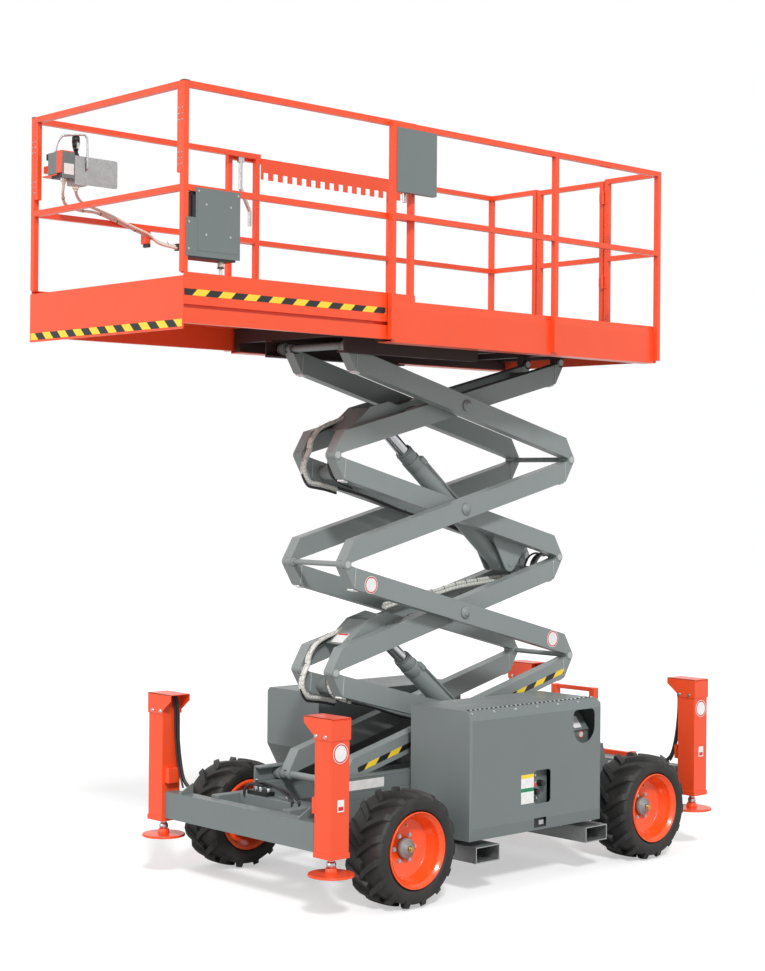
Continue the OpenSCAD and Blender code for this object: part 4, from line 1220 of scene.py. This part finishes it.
class LIFT_OT_outriggers(Operator):
    """Columns, folded caps, legs and pads of the four outriggers"""
    bl_idname = "lift.outriggers"
    bl_label = "Outriggers"

    def execute(self, context):
        half, top, skirt = COLUMN_HALF, CAP_TOP, 0.985
        inner, outer, flare = half + 0.0003, half + 0.0053, half + 0.085
        edge = [(outer, top), (-flare, top), (-flare, top - 0.038), (-inner - 0.006, 1.007),
                (-inner - 0.006, skirt), (outer, skirt)]
        columns, caps, bolts = bmesh.new(), bmesh.new(), []
        for end, side, _, s, cx, cy in outriggers():
            for a, b in tube_walls((-half, -half), (half, half), 0.008):
                add_box(columns, (cx + a[0], cy + a[1], COLUMN_FOOT),
                        (cx + b[0], cy + b[1], top - 0.006))
            cheek = [(cy + s * y, z) for y, z in edge]
            for f in (1, -1):
                slab(caps, cheek, "x", *sorted((cx + f * inner, cx + f * outer)))
                for y in (-0.052, 0.024):
                    bolts.append((Vector((cx + f * outer, cy + s * y, 1.004)), Vector((f, 0, 0))))
            block(caps, (cx - outer, cx + outer), (cy + s * outer, cy - s * flare),
                  (top - 0.005, top))
            block(caps, (cx - inner, cx + inner), (cy + s * inner, cy + s * outer),
                  (skirt, top - 0.014))
            foot = bmesh.new()
            for z0, z1, r0, r1, sides in ((0.246, 0.256, 0.129, 0.129, 64),
                    (0.256, 0.26, 0.129, 0.126, 64),
                                          (0.259, 0.29, 0.036, 0.031, 32)):
                add_rod(foot, (cx, cy, z0), (cx, cy, z1), r0, 0, sides, r1)
            bmesh.ops.create_uvsphere(foot, u_segments=32, v_segments=20, radius=0.027,
                matrix=Matrix.Translation((cx, cy, 0.306)))
            for f in foot.faces:
                if f.calc_center_median().z > 0.29:
                    f.material_index = 1
                    f.smooth = True
            add_rod(foot, (cx, cy, 0.32), (cx, cy, 0.352), 0.018, 1, 24)
            add_box(foot, (cx - 0.053, cy - 0.053, 0.351), (cx + 0.053, cy + 0.053, 0.93))
            obj = piece(f"leg_{end}_{side}", foot, ["orange", "zinc"], f"foot_{end}_{side}",
                        bevel=0.002)
            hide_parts(f"foot_{end}_{side}")
        obj = piece("columns", columns, "orange", "chassis", bevel=0.0025)
        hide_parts("outrigger_columns")
        obj = piece("caps", caps, "orange", "chassis", bevel=0.0012)
        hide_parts("outrigger_caps")
        scatter("cap_bolts", bolt_part(0.0085), bolts, "zinc", "chassis")
        return {"FINISHED"}


class LIFT_OT_chassis(Operator):
    """Rails that are low at both ends, with the roller track open to the front"""
    bl_idname = "lift.chassis"
    bl_label = "Chassis rails"

    def execute(self, context):
        bm = bmesh.new()
        pin = PIVOT["lift"]
        reach = 1.562
        low, step, top = 0.45, 0.54, 0.676
        slot_low, slot_high = pin.z - 0.04, pin.z + 0.04
        track, wall = 1.24, 0.06
        lug_x, lug_low = pin.x - X0, pin.z - 0.07
        lug = arc((lug_x, pin.z), HEAD_R, 0, math.pi, 20)
        lug += [(lug_x - HEAD_R, lug_low), (lug_x + HEAD_R, lug_low)]
        for faces, outline in (
                (RAIL, [(-reach, low), (reach, low), (reach, step), (track, step), (-track, step),
                        (-reach, step)]),
                (RAIL, [(-track, step), (track, step), (track, slot_low),
                        (0.04 - track, slot_low)]),
                (RAIL, [(0.04 - track, slot_low), (wall, slot_low), (wall, slot_high),
                        (wall - track, slot_high)]),
                ((0.334, RAIL[1]), [(wall, slot_low), (track, slot_low), (track, slot_high),
                                    (wall, slot_high)]),
                (RAIL, [(wall - track, slot_high), (track, slot_high), (track, top),
                        (wall - track, top)]),
                ((0.13, 0.158), lug)):
            for s in (1, -1):
                slab(bm, [(x + X0, z) for x, z in outline], "y", *sorted(s * y for y in faces))
        for s in (1, -1):
            y0, y1 = sorted(s * y for y in INNER_ARM)
            add_rod(bm, (pin.x, y0, pin.z), (pin.x, y1, pin.z), 0.022, 0, 24)
        for x in POCKETS:
            both_blocks(bm, (x - 0.03, x + 0.03), (RAIL[1], 0.37), (0.49, 0.59))
            both_blocks(bm, (x - 0.04, x + 0.04), RAIL, (0.286, low))
        for x in (-1.0615, 1.0615):
            both_blocks(bm, (x - 0.06, x + 0.06), RAIL, (0.39, low))
        for x0, x1, z in ((-1.0, -0.86, pin.z - 0.06), (1.2895, 1.3995, step),
                          (-1.4795, -1.3995, step)):
            middle_block(bm, (x0, x1), (-RAIL[0], RAIL[0]), (low, z))
        obj = piece("rails", bm, "cabinet", "chassis", bevel=0.003)
        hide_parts("chassis_frame")
        bm = bmesh.new()
        for x in POCKETS:
            for a, b in tube_walls((-0.1, 0.192), (0.1, 0.286), 0.006):
                middle_block(bm, (x + a[0], x + b[0]), (-0.866, 0.866), (a[1], b[1]))
        obj = piece("pockets", bm, "galvanised", "chassis", bevel=0.0015)
        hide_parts("fork_pockets")
        bm = bmesh.new()
        rear, hoop = -1.652, -1.412
        both_blocks(bm, (rear - 0.04, rear), (0.19, 0.222), (0.33, 0.56))
        for z in (0.335, 0.52):
            middle_block(bm, (rear - 0.04, rear - 0.008), (-0.19, 0.19), (z, z + 0.03))
        for y in (-0.285, 0.051):
            middle_block(bm, (hoop - 0.025, hoop + 0.025), (y, y + 0.044), (0.54, 1.0))
        middle_block(bm, (hoop - 0.012, hoop + 0.012), (-0.242, 0.052), (0.972, 1.0))
        obj = piece("steps_and_hoop", bm, "orange", "chassis", bevel=0.003)
        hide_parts("entry_ladder")
        return {"FINISHED"}


def trimmed(low, high, planes):
    """A box with its corners cut off: planes are (point, outward normal)."""
    bm = bmesh.new()
    add_box(bm, low, high)
    for spot, normal in planes:
        every = bm.verts[:] + bm.edges[:] + bm.faces[:]
        bmesh.ops.bisect_plane(bm, geom=every, plane_co=spot, plane_no=normal, clear_outer=True)
        bmesh.ops.holes_fill(bm, edges=[e for e in bm.edges if e.is_boundary])
    bmesh.ops.recalc_face_normals(bm, faces=bm.faces)
    return bm


def turns_left(a, b, c):
    return (b[0] - a[0]) * (c[1] - a[1]) - (b[1] - a[1]) * (c[0] - a[0]) > 0


def hull(points):
    """Outline round a set of points in a plane."""
    points = sorted((q[0], q[1]) for q in points)
    halves = []
    for run in (points, points[::-1]):
        out = []
        for q in run:
            while len(out) > 1 and not turns_left(out[-2], out[-1], q):
                out.pop()
            out.append(q)
        halves += out[:-1]
    return halves


class LIFT_OT_doors(Operator):
    """Left door with slanting edges, its two openings and what shows in them"""
    bl_idname = "lift.doors"
    bl_label = "Doors"

    def shell(self, inset):
        front, rear = 0.63 - inset + X0, -0.572 + inset + X0
        out, back = 0.86 - inset, 0.8165 - (0.02 if inset else 0)
        low, high = 0.32 + inset, 1.068 - inset
        return trimmed((rear, back, low), (front, out, high), [
            ((0, out, high - 0.055), (0, 0.055, 0.038)),
            ((0, out, low + 0.07), (0, 0.07, -0.016)),
            ((rear + 0.05, out, 0), (-0.038, 0.05, 0)),
            ((front, out - 0.012, 0), (1, 1, 0)),
            ((rear, 0, high - 0.06), (-1, 0, 1))])

    def execute(self, context):
        keyhole = arc((-0.37, 0.905), 0.101, 0, 2 * math.pi, 48)
        for x in (-0.434, -0.306):
            keyhole += arc((x, 0.972), 0.037, 0, 2 * math.pi, 24)
        large = hull([(q.x + X0, q.y) for q in keyhole])
        small = [(q.x + X0, q.y) for q in round_box(-0.064, 0.48, 0.086, 0.678, 0.024)]
        latch = [(x + X0, z) for x, z in ((-0.04, 0.335), (0.07, 0.335), (0.084, 0.395),
            (-0.026, 0.395))]
        cutters = [self.shell(0.003)]
        for outline in (large, small, latch):
            bm = bmesh.new()
            slab(bm, outline, "y", 0.79, 0.88)
            cutters.append(bm)
        obj = piece("door_shell", self.shell(0), "cabinet", None)
        carve(obj, cutters)
        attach(obj, "door_left")
        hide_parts("door_left")
        bm = bmesh.new()
        slab(bm, latch, "y", 0.838, 0.842)
        middle_block(bm, (-0.012, 0.03), (0.842, 0.85), (0.352, 0.378), 1)
        piece("door_latch", bm, ["black", "zinc"], "door_left")
        bm = bmesh.new()
        for z, high, mat in ((0.49, 0.56, 0), (0.56, 0.582, 2), (0.582, 0.64, 0), (0.64, 0.662, 1)):
            middle_block(bm, (0.088, 0.2), (0.86, 0.8608), (z, high), mat)
        piece("door_plate", bm, ["white", "yellow", "green"], "door_left")
        chamfer = Vector((0, 0.823, 0.568))
        spots = [(Vector((0.6 - k * 0.188 + X0, 0.8335, 1.0514)), chamfer) for k in range(7)]
        scatter("hinge_screws", bolt_part(0.007), spots, "zinc", "door_left", 0.8)
        bm = bmesh.new()
        knuckles, hinge_y, hinge_z = 58, 0.8092, 1.0692
        for k in range(knuckles):
            x = -0.505 + k * 1.12 / knuckles + X0
            add_rod(bm, (x, hinge_y, hinge_z), (x + 0.0145, hinge_y, hinge_z), 0.005, k % 2, 10)
        piece("door_hinge", bm, ["zinc", "black"], "chassis")
        bm = bmesh.new()
        middle_block(bm, (-0.085, 0.1), (0.8062, 0.811), (0.465, 0.695))
        middle_block(bm, (-0.5, -0.22), (0.64, 0.78), (0.78, 0.872))
        slab(bm, [(0.79, 0.87), (0.6, 0.872), (0.6, 0.99), (0.7, 0.99)], "x", -0.5 + X0, -0.22 + X0)
        piece("inner_panels", bm, "cabinet", "chassis", bevel=0.003)
        bm = bmesh.new()
        for x, z, r, depth, mat in ((-0.012, 0.592, 0.02, 0.04, 0), (0.028, 0.545, 0.019, 0.034, 0),
                (0.06, 0.592, 0.015, 0.035, 1),
                                    (0.045, 0.645, 0.009, 0.025, 2), (0.04, 0.6, 0.009, 0.022, 2),
                                    (0.035, 0.51, 0.008, 0.026, 2)):
            add_rod(bm, (x + X0, 0.81, z), (x + X0, 0.81 + depth, z), r, mat, 28, r * 0.86)
        for y0, y1, r, mat in ((0.775, 0.8, 0.034, 0), (0.799, 0.803, 0.02, 2)):
            add_rod(bm, (-0.305 + X0, y0, 0.872), (-0.305 + X0, y1, 0.872), r, mat, 36)
        piece("panel_controls", bm, ["black", "lamp", "zinc"], "chassis", bevel=0.0015)
        bm = bmesh.new()
        slope = Vector((0, -0.09, 0.12)).normalized() * 0.08
        base = Vector((-0.405 + X0, 0.7822, 0.886))
        side = Vector((0.035, 0, 0))
        add_patch(bm, [base - side, base + side, base + side + slope, base - side + slope], 0.001,
                  0)
        piece("inner_plate", bm, "white", "chassis")
        bm = bmesh.new()
        for y, thick, mat, inner in ((0.781, 0.001, 0, 0.0), (0.7822, 0.0008, 1, 0.018)):
            add_disc(bm, (-0.435 + X0, y, 0.842), (0, 1, 0), 0.024, thick, mat, inner)
        piece("inner_sign", bm, ["white", "red"], "chassis")
        return {"FINISHED"}


class LIFT_OT_console(Operator):
    """Console with its lever, hoop and pale plate, the outlet plate and the inner end posts"""
    bl_idname = "lift.console"
    bl_label = "Console and outlet"

    def execute(self, context):
        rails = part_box("extension_rails")[1]
        high, front, side = rails.z, rails.x, rails.y
        tube = 0.032
        x, low = front - tube, high - 0.31

        def at(points):
            """Points whose x and z are counted from the console's corner."""
            return [Vector((x + u, y, low + w)) for u, y, w in points]

        bm = bmesh.new()
        for x0, x1, y0, y1, z0, z1, mat in (
                (-0.085, -0.001, -0.582, -0.495, -0.022, 0.1, 0),
                (-0.085, 0, -0.4955, -0.447, -0.02, 0.104, 4),
                (-0.084, -0.004, -0.4475, -0.44, -0.05, 0.097, 0),
                (-0.078, -0.012, -0.4405, -0.4385, -0.029, 0.032, 2),
                (-0.05, -0.01, -0.614, -0.581, 0.065, 0.1, 3),
                (-0.169, -0.086, -0.52, -0.441, -0.08, 0.083, 1),
                (-0.162, -0.156, -0.4415, -0.4395, 0.0, 0.05, 3),
                (-0.082, -0.01, -0.56, -0.45, -0.045, -0.021, 3),
                (-0.08, -0.004, 0.027 + tube - side, -0.5, -0.03, -0.022, 4),
                (-0.15, -0.03, tube - side - 0.002, -0.5, 0.0, 0.04, 4)):
            block(bm, (x + x0, x + x1), (y0, y1), (low + z0, low + z1), mat)
        obj = piece("console", bm, ["cabinet", "galvanised", "white", "black", "orange"],
                    "extension", bevel=0.003)
        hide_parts("control_box")
        bm = bmesh.new()
        plate = round_box(x - 0.376, low - 0.075, x - 0.16, low + 0.083, 0.014)
        slab(bm, plate, "y", -0.4435, -0.4405)
        piece("console_plate", bm, "galvanised", "extension", bevel=0.001)
        bm = bmesh.new()
        hoop = at([
            (-0.006, -0.516, 0.098), (-0.012, -0.506, 0.15), (-0.03, -0.49, 0.186),
            (-0.05, -0.478, 0.194), (-0.136, -0.442, 0.204), (-0.156, -0.436, 0.194),
            (-0.162, -0.434, 0.17), (-0.165, -0.434, 0.03), (-0.165, -0.443, 0.02)])
        add_sweep(bm, smooth_path(hoop), 0.0065, 0, 14)
        piece("console_hoop", bm, "zinc", "extension")
        bm = bmesh.new()
        knob = [(0.001, -0.01), (0.021, 0.0), (0.017, 0.014), (0.012, 0.024), (0.012, 0.03),
                (0.019, 0.05), (0.023, 0.08), (0.022, 0.106), (0.017, 0.118), (0.001, 0.122)]
        for a, b in zip(knob, knob[1:]):
            lower, upper = at([(-0.112, -0.472, 0.083 + a[1]), (-0.112, -0.472, 0.083 + b[1])])
            add_rod(bm, lower, upper, a[0], 0, 28, b[0])
        block(bm, (x - 0.12, x - 0.104), (-0.458, -0.45), (low + 0.125, low + 0.165), 1)
        piece("console_lever", bm, ["black", "chrome"], "extension")
        bm = bmesh.new()
        for g in at([(-0.034, -0.475, -0.044), (-0.11, -0.468, -0.078)]):
            neck = g - Vector((0, 0, 0.022))
            add_rod(bm, g, neck, 0.018, 0, 24)
            add_rod(bm, neck, g - Vector((0, 0, 0.036)), 0.013, 0, 24, 0.011)
        piece("console_glands", bm, "conduit", "extension", bevel=0.001)
        one = at([
            (-0.034, -0.475, -0.078), (-0.06, -0.52, -0.135), (-0.15, -0.62, -0.17),
            (-0.253, -0.65, -0.183), (-0.379, -0.652, -0.186), (-0.494, -0.652, -0.214),
            (-0.624, -0.652, -0.25), (-0.741, -0.65, -0.284), (-0.856, -0.65, -0.318),
            (-0.96, -0.65, -0.325)])
        two = at([
            (-0.11, -0.468, -0.112), (-0.16, -0.52, -0.135), (-0.26, -0.61, -0.148),
            (-0.379, -0.636, -0.17), (-0.494, -0.638, -0.2), (-0.624, -0.636, -0.242),
            (-0.741, -0.634, -0.276), (-0.82, -0.634, -0.322), (-0.96, -0.636, -0.34)])
        tied_hose("conduit_one", one, 0.0085, "conduit", True, "extension", pitch=0.118)
        tied_hose("conduit_two", two, 0.0085, "conduit", False, "extension")
        bm = bmesh.new()
        mid = high - 0.527
        block(bm, (x - 0.765, x - 0.725), (0.012 - side, 0.056 - side), (mid - 0.115, mid - 0.031))
        block(bm, (x - 0.755, x - 0.735), (0.02 - side, 0.07 - side), (mid - 0.135, mid - 0.113), 1)
        block(bm, (x - 0.975, x - 0.955), (-0.663, -0.624), (low - 0.352, low - 0.31), 1)
        piece("conduit_clip", bm, ["orange", "black"], "extension", bevel=0.002)
        bm = bmesh.new()
        for s in (1, -1):
            block(bm, (x, front), (s * (side - tube - 0.027), s * (side - tube)),
                  (mid + 0.06, high - tube))
        piece("end_posts", bm, "orange", "extension", bevel=0.003)
        spots = []
        for s in (1, -1):
            for z in (mid + 0.1, mid + 0.13, mid + 0.16, high - 0.2, high - 0.17, high - 0.14):
                for y in (side - 0.042, side - 0.012):
                    spots.append((Vector((front, s * y, z)), Vector((1, 0, 0))))
        scatter("post_rivets", bolt_part(0.004), spots, "zinc", "extension", 0.8)
        bm = bmesh.new()
        for s in (1, -1):
            block(bm, (front - 0.035, front + 0.002), (s * (side - 0.034), s * (side + 0.001)),
                  (high - 0.001, high + 0.003))
        piece("rail_caps", bm, "black", "extension", bevel=0.001)
        base = high - 0.891
        bm = bmesh.new()
        for y0, y1, outline in (
                (0.0003, 0.004, ((-0.371, 0), (-0.018, 0), (-0.018, 0.198), (-0.078, 0.198),
                                 (-0.078, 0.353), (-0.371, 0.353))),
                (0.004, 0.0056, ((-0.36, 0.03), (-0.09, 0.03), (-0.09, 0.345), (-0.36, 0.345)))):
            slab(bm, [(front + u, base + w) for u, w in outline], "y", side + y0, side + y1)
        block(bm, (front - 0.345, front - 0.06), (side - 0.09, side + 0.0003),
              (base - 0.01, base + 0.312), 1)
        block(bm, (front - 0.35, front - 0.055), (side - 0.088, side - 0.01),
              (base + 0.2, base + 0.33), 1)
        obj = piece("outlet", bm, ["cabinet", "black"], "extension", bevel=0.0012)
        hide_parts("outlet_box")
        spots = [(Vector((front - u, side + 0.004, base + w)), Vector((0, 1, 0))) for u, w in (
            (0.032, 0.035), (0.032, 0.172), (0.095, 0.335), (0.355, 0.335), (0.145, 0.27),
            (0.305, 0.27), (0.145, 0.115), (0.305, 0.115))]
        scatter("outlet_screws", bolt_part(0.006), spots, "zinc", "extension", 0.8)
        drops = ((0, 0, 0), (0, 0, -0.03), (0, 0, -0.036), (0.002, 0, -0.08),
                 (0.006, -0.006, -0.12), (0.012, -0.014, -0.165))
        gland, neck, nut, *rest = [Vector((front - 0.27, side - 0.03, base - 0.01)) + Vector(q)
            for q in drops]
        bm = bmesh.new()
        add_rod(bm, gland, neck, 0.016, 0, 24)
        add_rod(bm, neck, nut, 0.018, 1, 24)
        piece("outlet_gland", bm, ["conduit", "black"], "extension")
        tied_hose("outlet_conduit", [neck, *rest], 0.009, "conduit", False, "extension")
        return {"FINISHED"}


class LIFT_OT_fittings(Operator):
    """Hoses and brackets of the outriggers, blank plates and chassis fittings"""
    bl_idname = "lift.fittings"
    bl_label = "Fittings"

    def execute(self, context):
        guards, plates, lips = bmesh.new(), bmesh.new(), bmesh.new()
        for end, side, e, s, cx, cy in outriggers():
            path = [(cx - e * u, cy - s * w, z) for u, w, z in (
                (0.02, 0.074, 1.09), (0.03, 0.084, 1.04), (0.035, 0.084, 0.88), (0.04, 0.1, 0.72),
                (0.045, 0.13, 0.6), (0.06, 0.17, 0.545))]
            tied_hose(f"column_hose_{end}_{side}", path, 0.011, "hose", False, "chassis")
            path = [(x + e * 0.018, y, z) for x, y, z in path[:-1]] + [(cx - e * 0.02,
                cy - s * 0.16, 0.55)]
            tied_hose(f"column_wire_{end}_{side}", path, 0.006, "hose", False, "chassis")
            block(guards, (cx - 0.03, cx + 0.05), (cy - s * COLUMN_HALF, cy - s * 0.108),
                  (0.575, 0.665))
            for a, b in tube_walls((-0.071, -0.071), (0.071, 0.071), 0.004):
                add_box(lips, (cx + a[0], cy + a[1], COLUMN_FOOT), (cx + b[0], cy + b[1], 0.375))
            for x0, x1, y0, y1, z0, z1, mat in (
                    (-0.028, 0.02, COLUMN_HALF, 0.0682, 0.6, 0.665, 0),
                    (-0.022, 0.014, 0.0682, 0.0688, 0.607, 0.628, 1)):
                block(plates, (cx + x0, cx + x1), (cy + s * y0, cy + s * y1), (z0, z1), mat)
        piece("hose_guards", guards, "orange", "chassis", bevel=0.003)
        piece("column_lips", lips, "orange", "chassis", bevel=0.001)
        both_blocks(plates, (0.83, 1.19), (RAIL[1], 0.3508), (0.6, 0.655))
        piece("blank_plates", plates, ["white", "red"], "chassis")
        bm = bmesh.new()
        for x, y, r, top, mat in ((1.34, -0.2, 0.016, 0.6, 1), (1.35, -0.15, 0.012, 0.59, 1),
                (1.33, -0.1, 0.014, 0.585, 1),
                                  (1.36, 0.1, 0.011, 0.575, 1), (1.34, -0.2, 0.009, 0.62, 0)):
            add_rod(bm, (x + X0, y, 0.538), (x + X0, y, top), r, mat, 20)
            add_rod(bm, (x + X0, y, top - 0.002), (x + X0, y, top + 0.006), r * 1.2, 1 - mat, 6)
        middle_block(bm, (1.31, 1.38), (-0.24, -0.07), (0.538, 0.565))
        piece("chassis_valves", bm, ["black", "zinc"], "chassis", bevel=0.0015)
        x = 1.34 + X0
        for k, (y0, y1) in enumerate(((-0.2, 0.18), (-0.15, 0.24), (-0.1, -0.24))):
            path = [(x + u, y0 + t * (y1 - y0), z) for u, t, z in (
                (0, 0, 0.6), (0.03, 0.3, 0.62 - k * 0.01), (0.05, 0.7, 0.6), (0.06, 1, 0.56),
                (0.055, 1, 0.52))]
            tied_hose(f"chassis_hose_{k}", path, 0.008, "hose", False, "chassis")
        return {"FINISHED"}


# ---- stage -------------------------------------------------------------------------


class LIFT_OT_finishes(Operator):
    """Mixes the finishes and puts them on the frame's own pieces"""
    bl_idname = "lift.finishes"
    bl_label = "Finishes"

    def execute(self, context):
        mix_finishes(context.scene.lift_paint)
        for name, obj in NODES.items():
            for slot in obj.material_slots:
                slot.material = FINISH[finish_of(name)]
        return {"FINISHED"}


class LIFT_OT_stage(Operator):
    """Camera, pale floor and soft lights"""
    bl_idname = "lift.stage"
    bl_label = "Stage"

    def execute(self, context):
        scene = context.scene
        want = scene.lift_stage
        look = Vector((-0.67211801, -0.74043559, 0.00353781)).normalized()
        right = look.cross(Vector((0, 0, 1))).normalized()
        up = right.cross(look)
        roll = 0.0084
        across = math.cos(roll) * right + math.sin(roll) * up
        upright = -math.sin(roll) * right + math.cos(roll) * up
        data = bpy.data.cameras.new("camera")
        data.sensor_fit = "HORIZONTAL"
        data.sensor_width = 36
        data.lens = 86.66
        data.shift_x = 0.0724
        data.shift_y = -0.0114
        data.clip_end = 200
        camera = bpy.data.objects.new("camera", data)
        matrix = Matrix((across, upright, -look)).transposed().to_4x4()
        matrix.translation = Vector((7.9045, 8.1117, 2.3721))
        camera.matrix_world = matrix
        scene.collection.objects.link(camera)
        scene.camera = camera

        half = want.floor_size / 2
        mesh = bpy.data.meshes.new("floor")
        corners = [(-half, -half, 0), (half, -half, 0), (half, half, 0), (-half, half, 0)]
        mesh.from_pydata(corners, [], [(0, 1, 2, 3)])
        floor = bpy.data.objects.new("floor", mesh)
        mat, tree, shader = new_material("pale_floor")
        shader.inputs["Base Color"].default_value = (0.62, 0.62, 0.62, 1)
        shader.inputs["Roughness"].default_value = 0.9
        shader.inputs["Emission Color"].default_value = (1, 1, 1, 1)
        path = tree.nodes.new("ShaderNodeLightPath")
        glow = tree.nodes.new("ShaderNodeMath")
        glow.operation = "MULTIPLY"
        glow.inputs[1].default_value = 0.45
        tree.links.new(path.outputs["Is Camera Ray"], glow.inputs[0])
        tree.links.new(glow.outputs[0], shader.inputs["Emission Strength"])
        mesh.materials.append(mat)
        scene.collection.objects.link(floor)

        world = bpy.data.worlds.new("surroundings")
        world.use_nodes = True
        tree = world.node_tree
        back = tree.nodes["Background"]
        back.inputs["Color"].default_value = (1.0, 1.0, 1.0, 1)
        path = tree.nodes.new("ShaderNodeLightPath")
        seen = tree.nodes.new("ShaderNodeMath")
        seen.operation = "MAXIMUM"
        strength = tree.nodes.new("ShaderNodeMapRange")
        strength.inputs["To Min"].default_value = want.fill_strength
        strength.inputs["To Max"].default_value = 1.0
        tree.links.new(path.outputs["Is Camera Ray"], seen.inputs[0])
        tree.links.new(path.outputs["Is Glossy Ray"], seen.inputs[1])
        tree.links.new(seen.outputs[0], strength.inputs["Value"])
        tree.links.new(strength.outputs["Result"], back.inputs["Strength"])
        scene.world = world

        for name, direction, power, angle in (
                ("key", (-0.45, -0.62, -0.64), want.key_strength, 8),
                ("side", (-0.9, 0.1, -0.35), want.key_strength * 0.35, 30)):
            lamp = bpy.data.lights.new(name, "SUN")
            lamp.energy = power
            lamp.angle = math.radians(angle)
            obj = bpy.data.objects.new(name, lamp)
            obj.rotation_mode = "QUATERNION"
            obj.rotation_quaternion = Vector(direction).to_track_quat("-Z", "Y")
            scene.collection.objects.link(obj)
        scene.view_settings.view_transform = "Standard"
        return {"FINISHED"}


class LIFT_PT_dressing(Panel):
    """Lists the steps that dress the lift"""
    bl_label = "Scissor Lift"
    bl_idname = "LIFT_PT_dressing"
    bl_space_type = "VIEW_3D"
    bl_region_type = "UI"
    bl_category = "Scissor Lift"

    def draw(self, context):
        scene = context.scene
        for group in ("lift_paint", "lift_tyres", "lift_trim", "lift_stage"):
            box = self.layout.box()
            for key in getattr(scene, group).__annotations__:
                box.prop(getattr(scene, group), key)
        for step in STEPS:
            self.layout.operator(step.bl_idname)


GROUPS = (
    ("lift_paint", LiftPaint), ("lift_tyres", LiftTyres), ("lift_trim", LiftTrim),
    ("lift_stage", LiftStage),
)
STEPS = (
    LIFT_OT_stage, LIFT_OT_finishes, LIFT_OT_tyres, LIFT_OT_rims, LIFT_OT_hubs,
    LIFT_OT_arms, LIFT_OT_cylinders, LIFT_OT_chassis, LIFT_OT_outriggers, LIFT_OT_doors,
    LIFT_OT_console, LIFT_OT_fittings, LIFT_OT_stripes, LIFT_OT_arm_ends, LIFT_OT_arm_hoses,
    LIFT_OT_signs,
)


def register():
    for name, group in GROUPS:
        bpy.utils.register_class(group)
        setattr(bpy.types.Scene, name, PointerProperty(type=group))
    for step in STEPS:
        bpy.utils.register_class(step)
    bpy.utils.register_class(LIFT_PT_dressing)


def unregister():
    bpy.utils.unregister_class(LIFT_PT_dressing)
    for step in reversed(STEPS):
        bpy.utils.unregister_class(step)
    for name, group in reversed(GROUPS):
        delattr(bpy.types.Scene, name)
        bpy.utils.unregister_class(group)


def main():
    register()
    for step in STEPS:
        family, name = step.bl_idname.split(".")
        getattr(getattr(bpy.ops, family), name)()


if __name__ == "__main__":
    main()
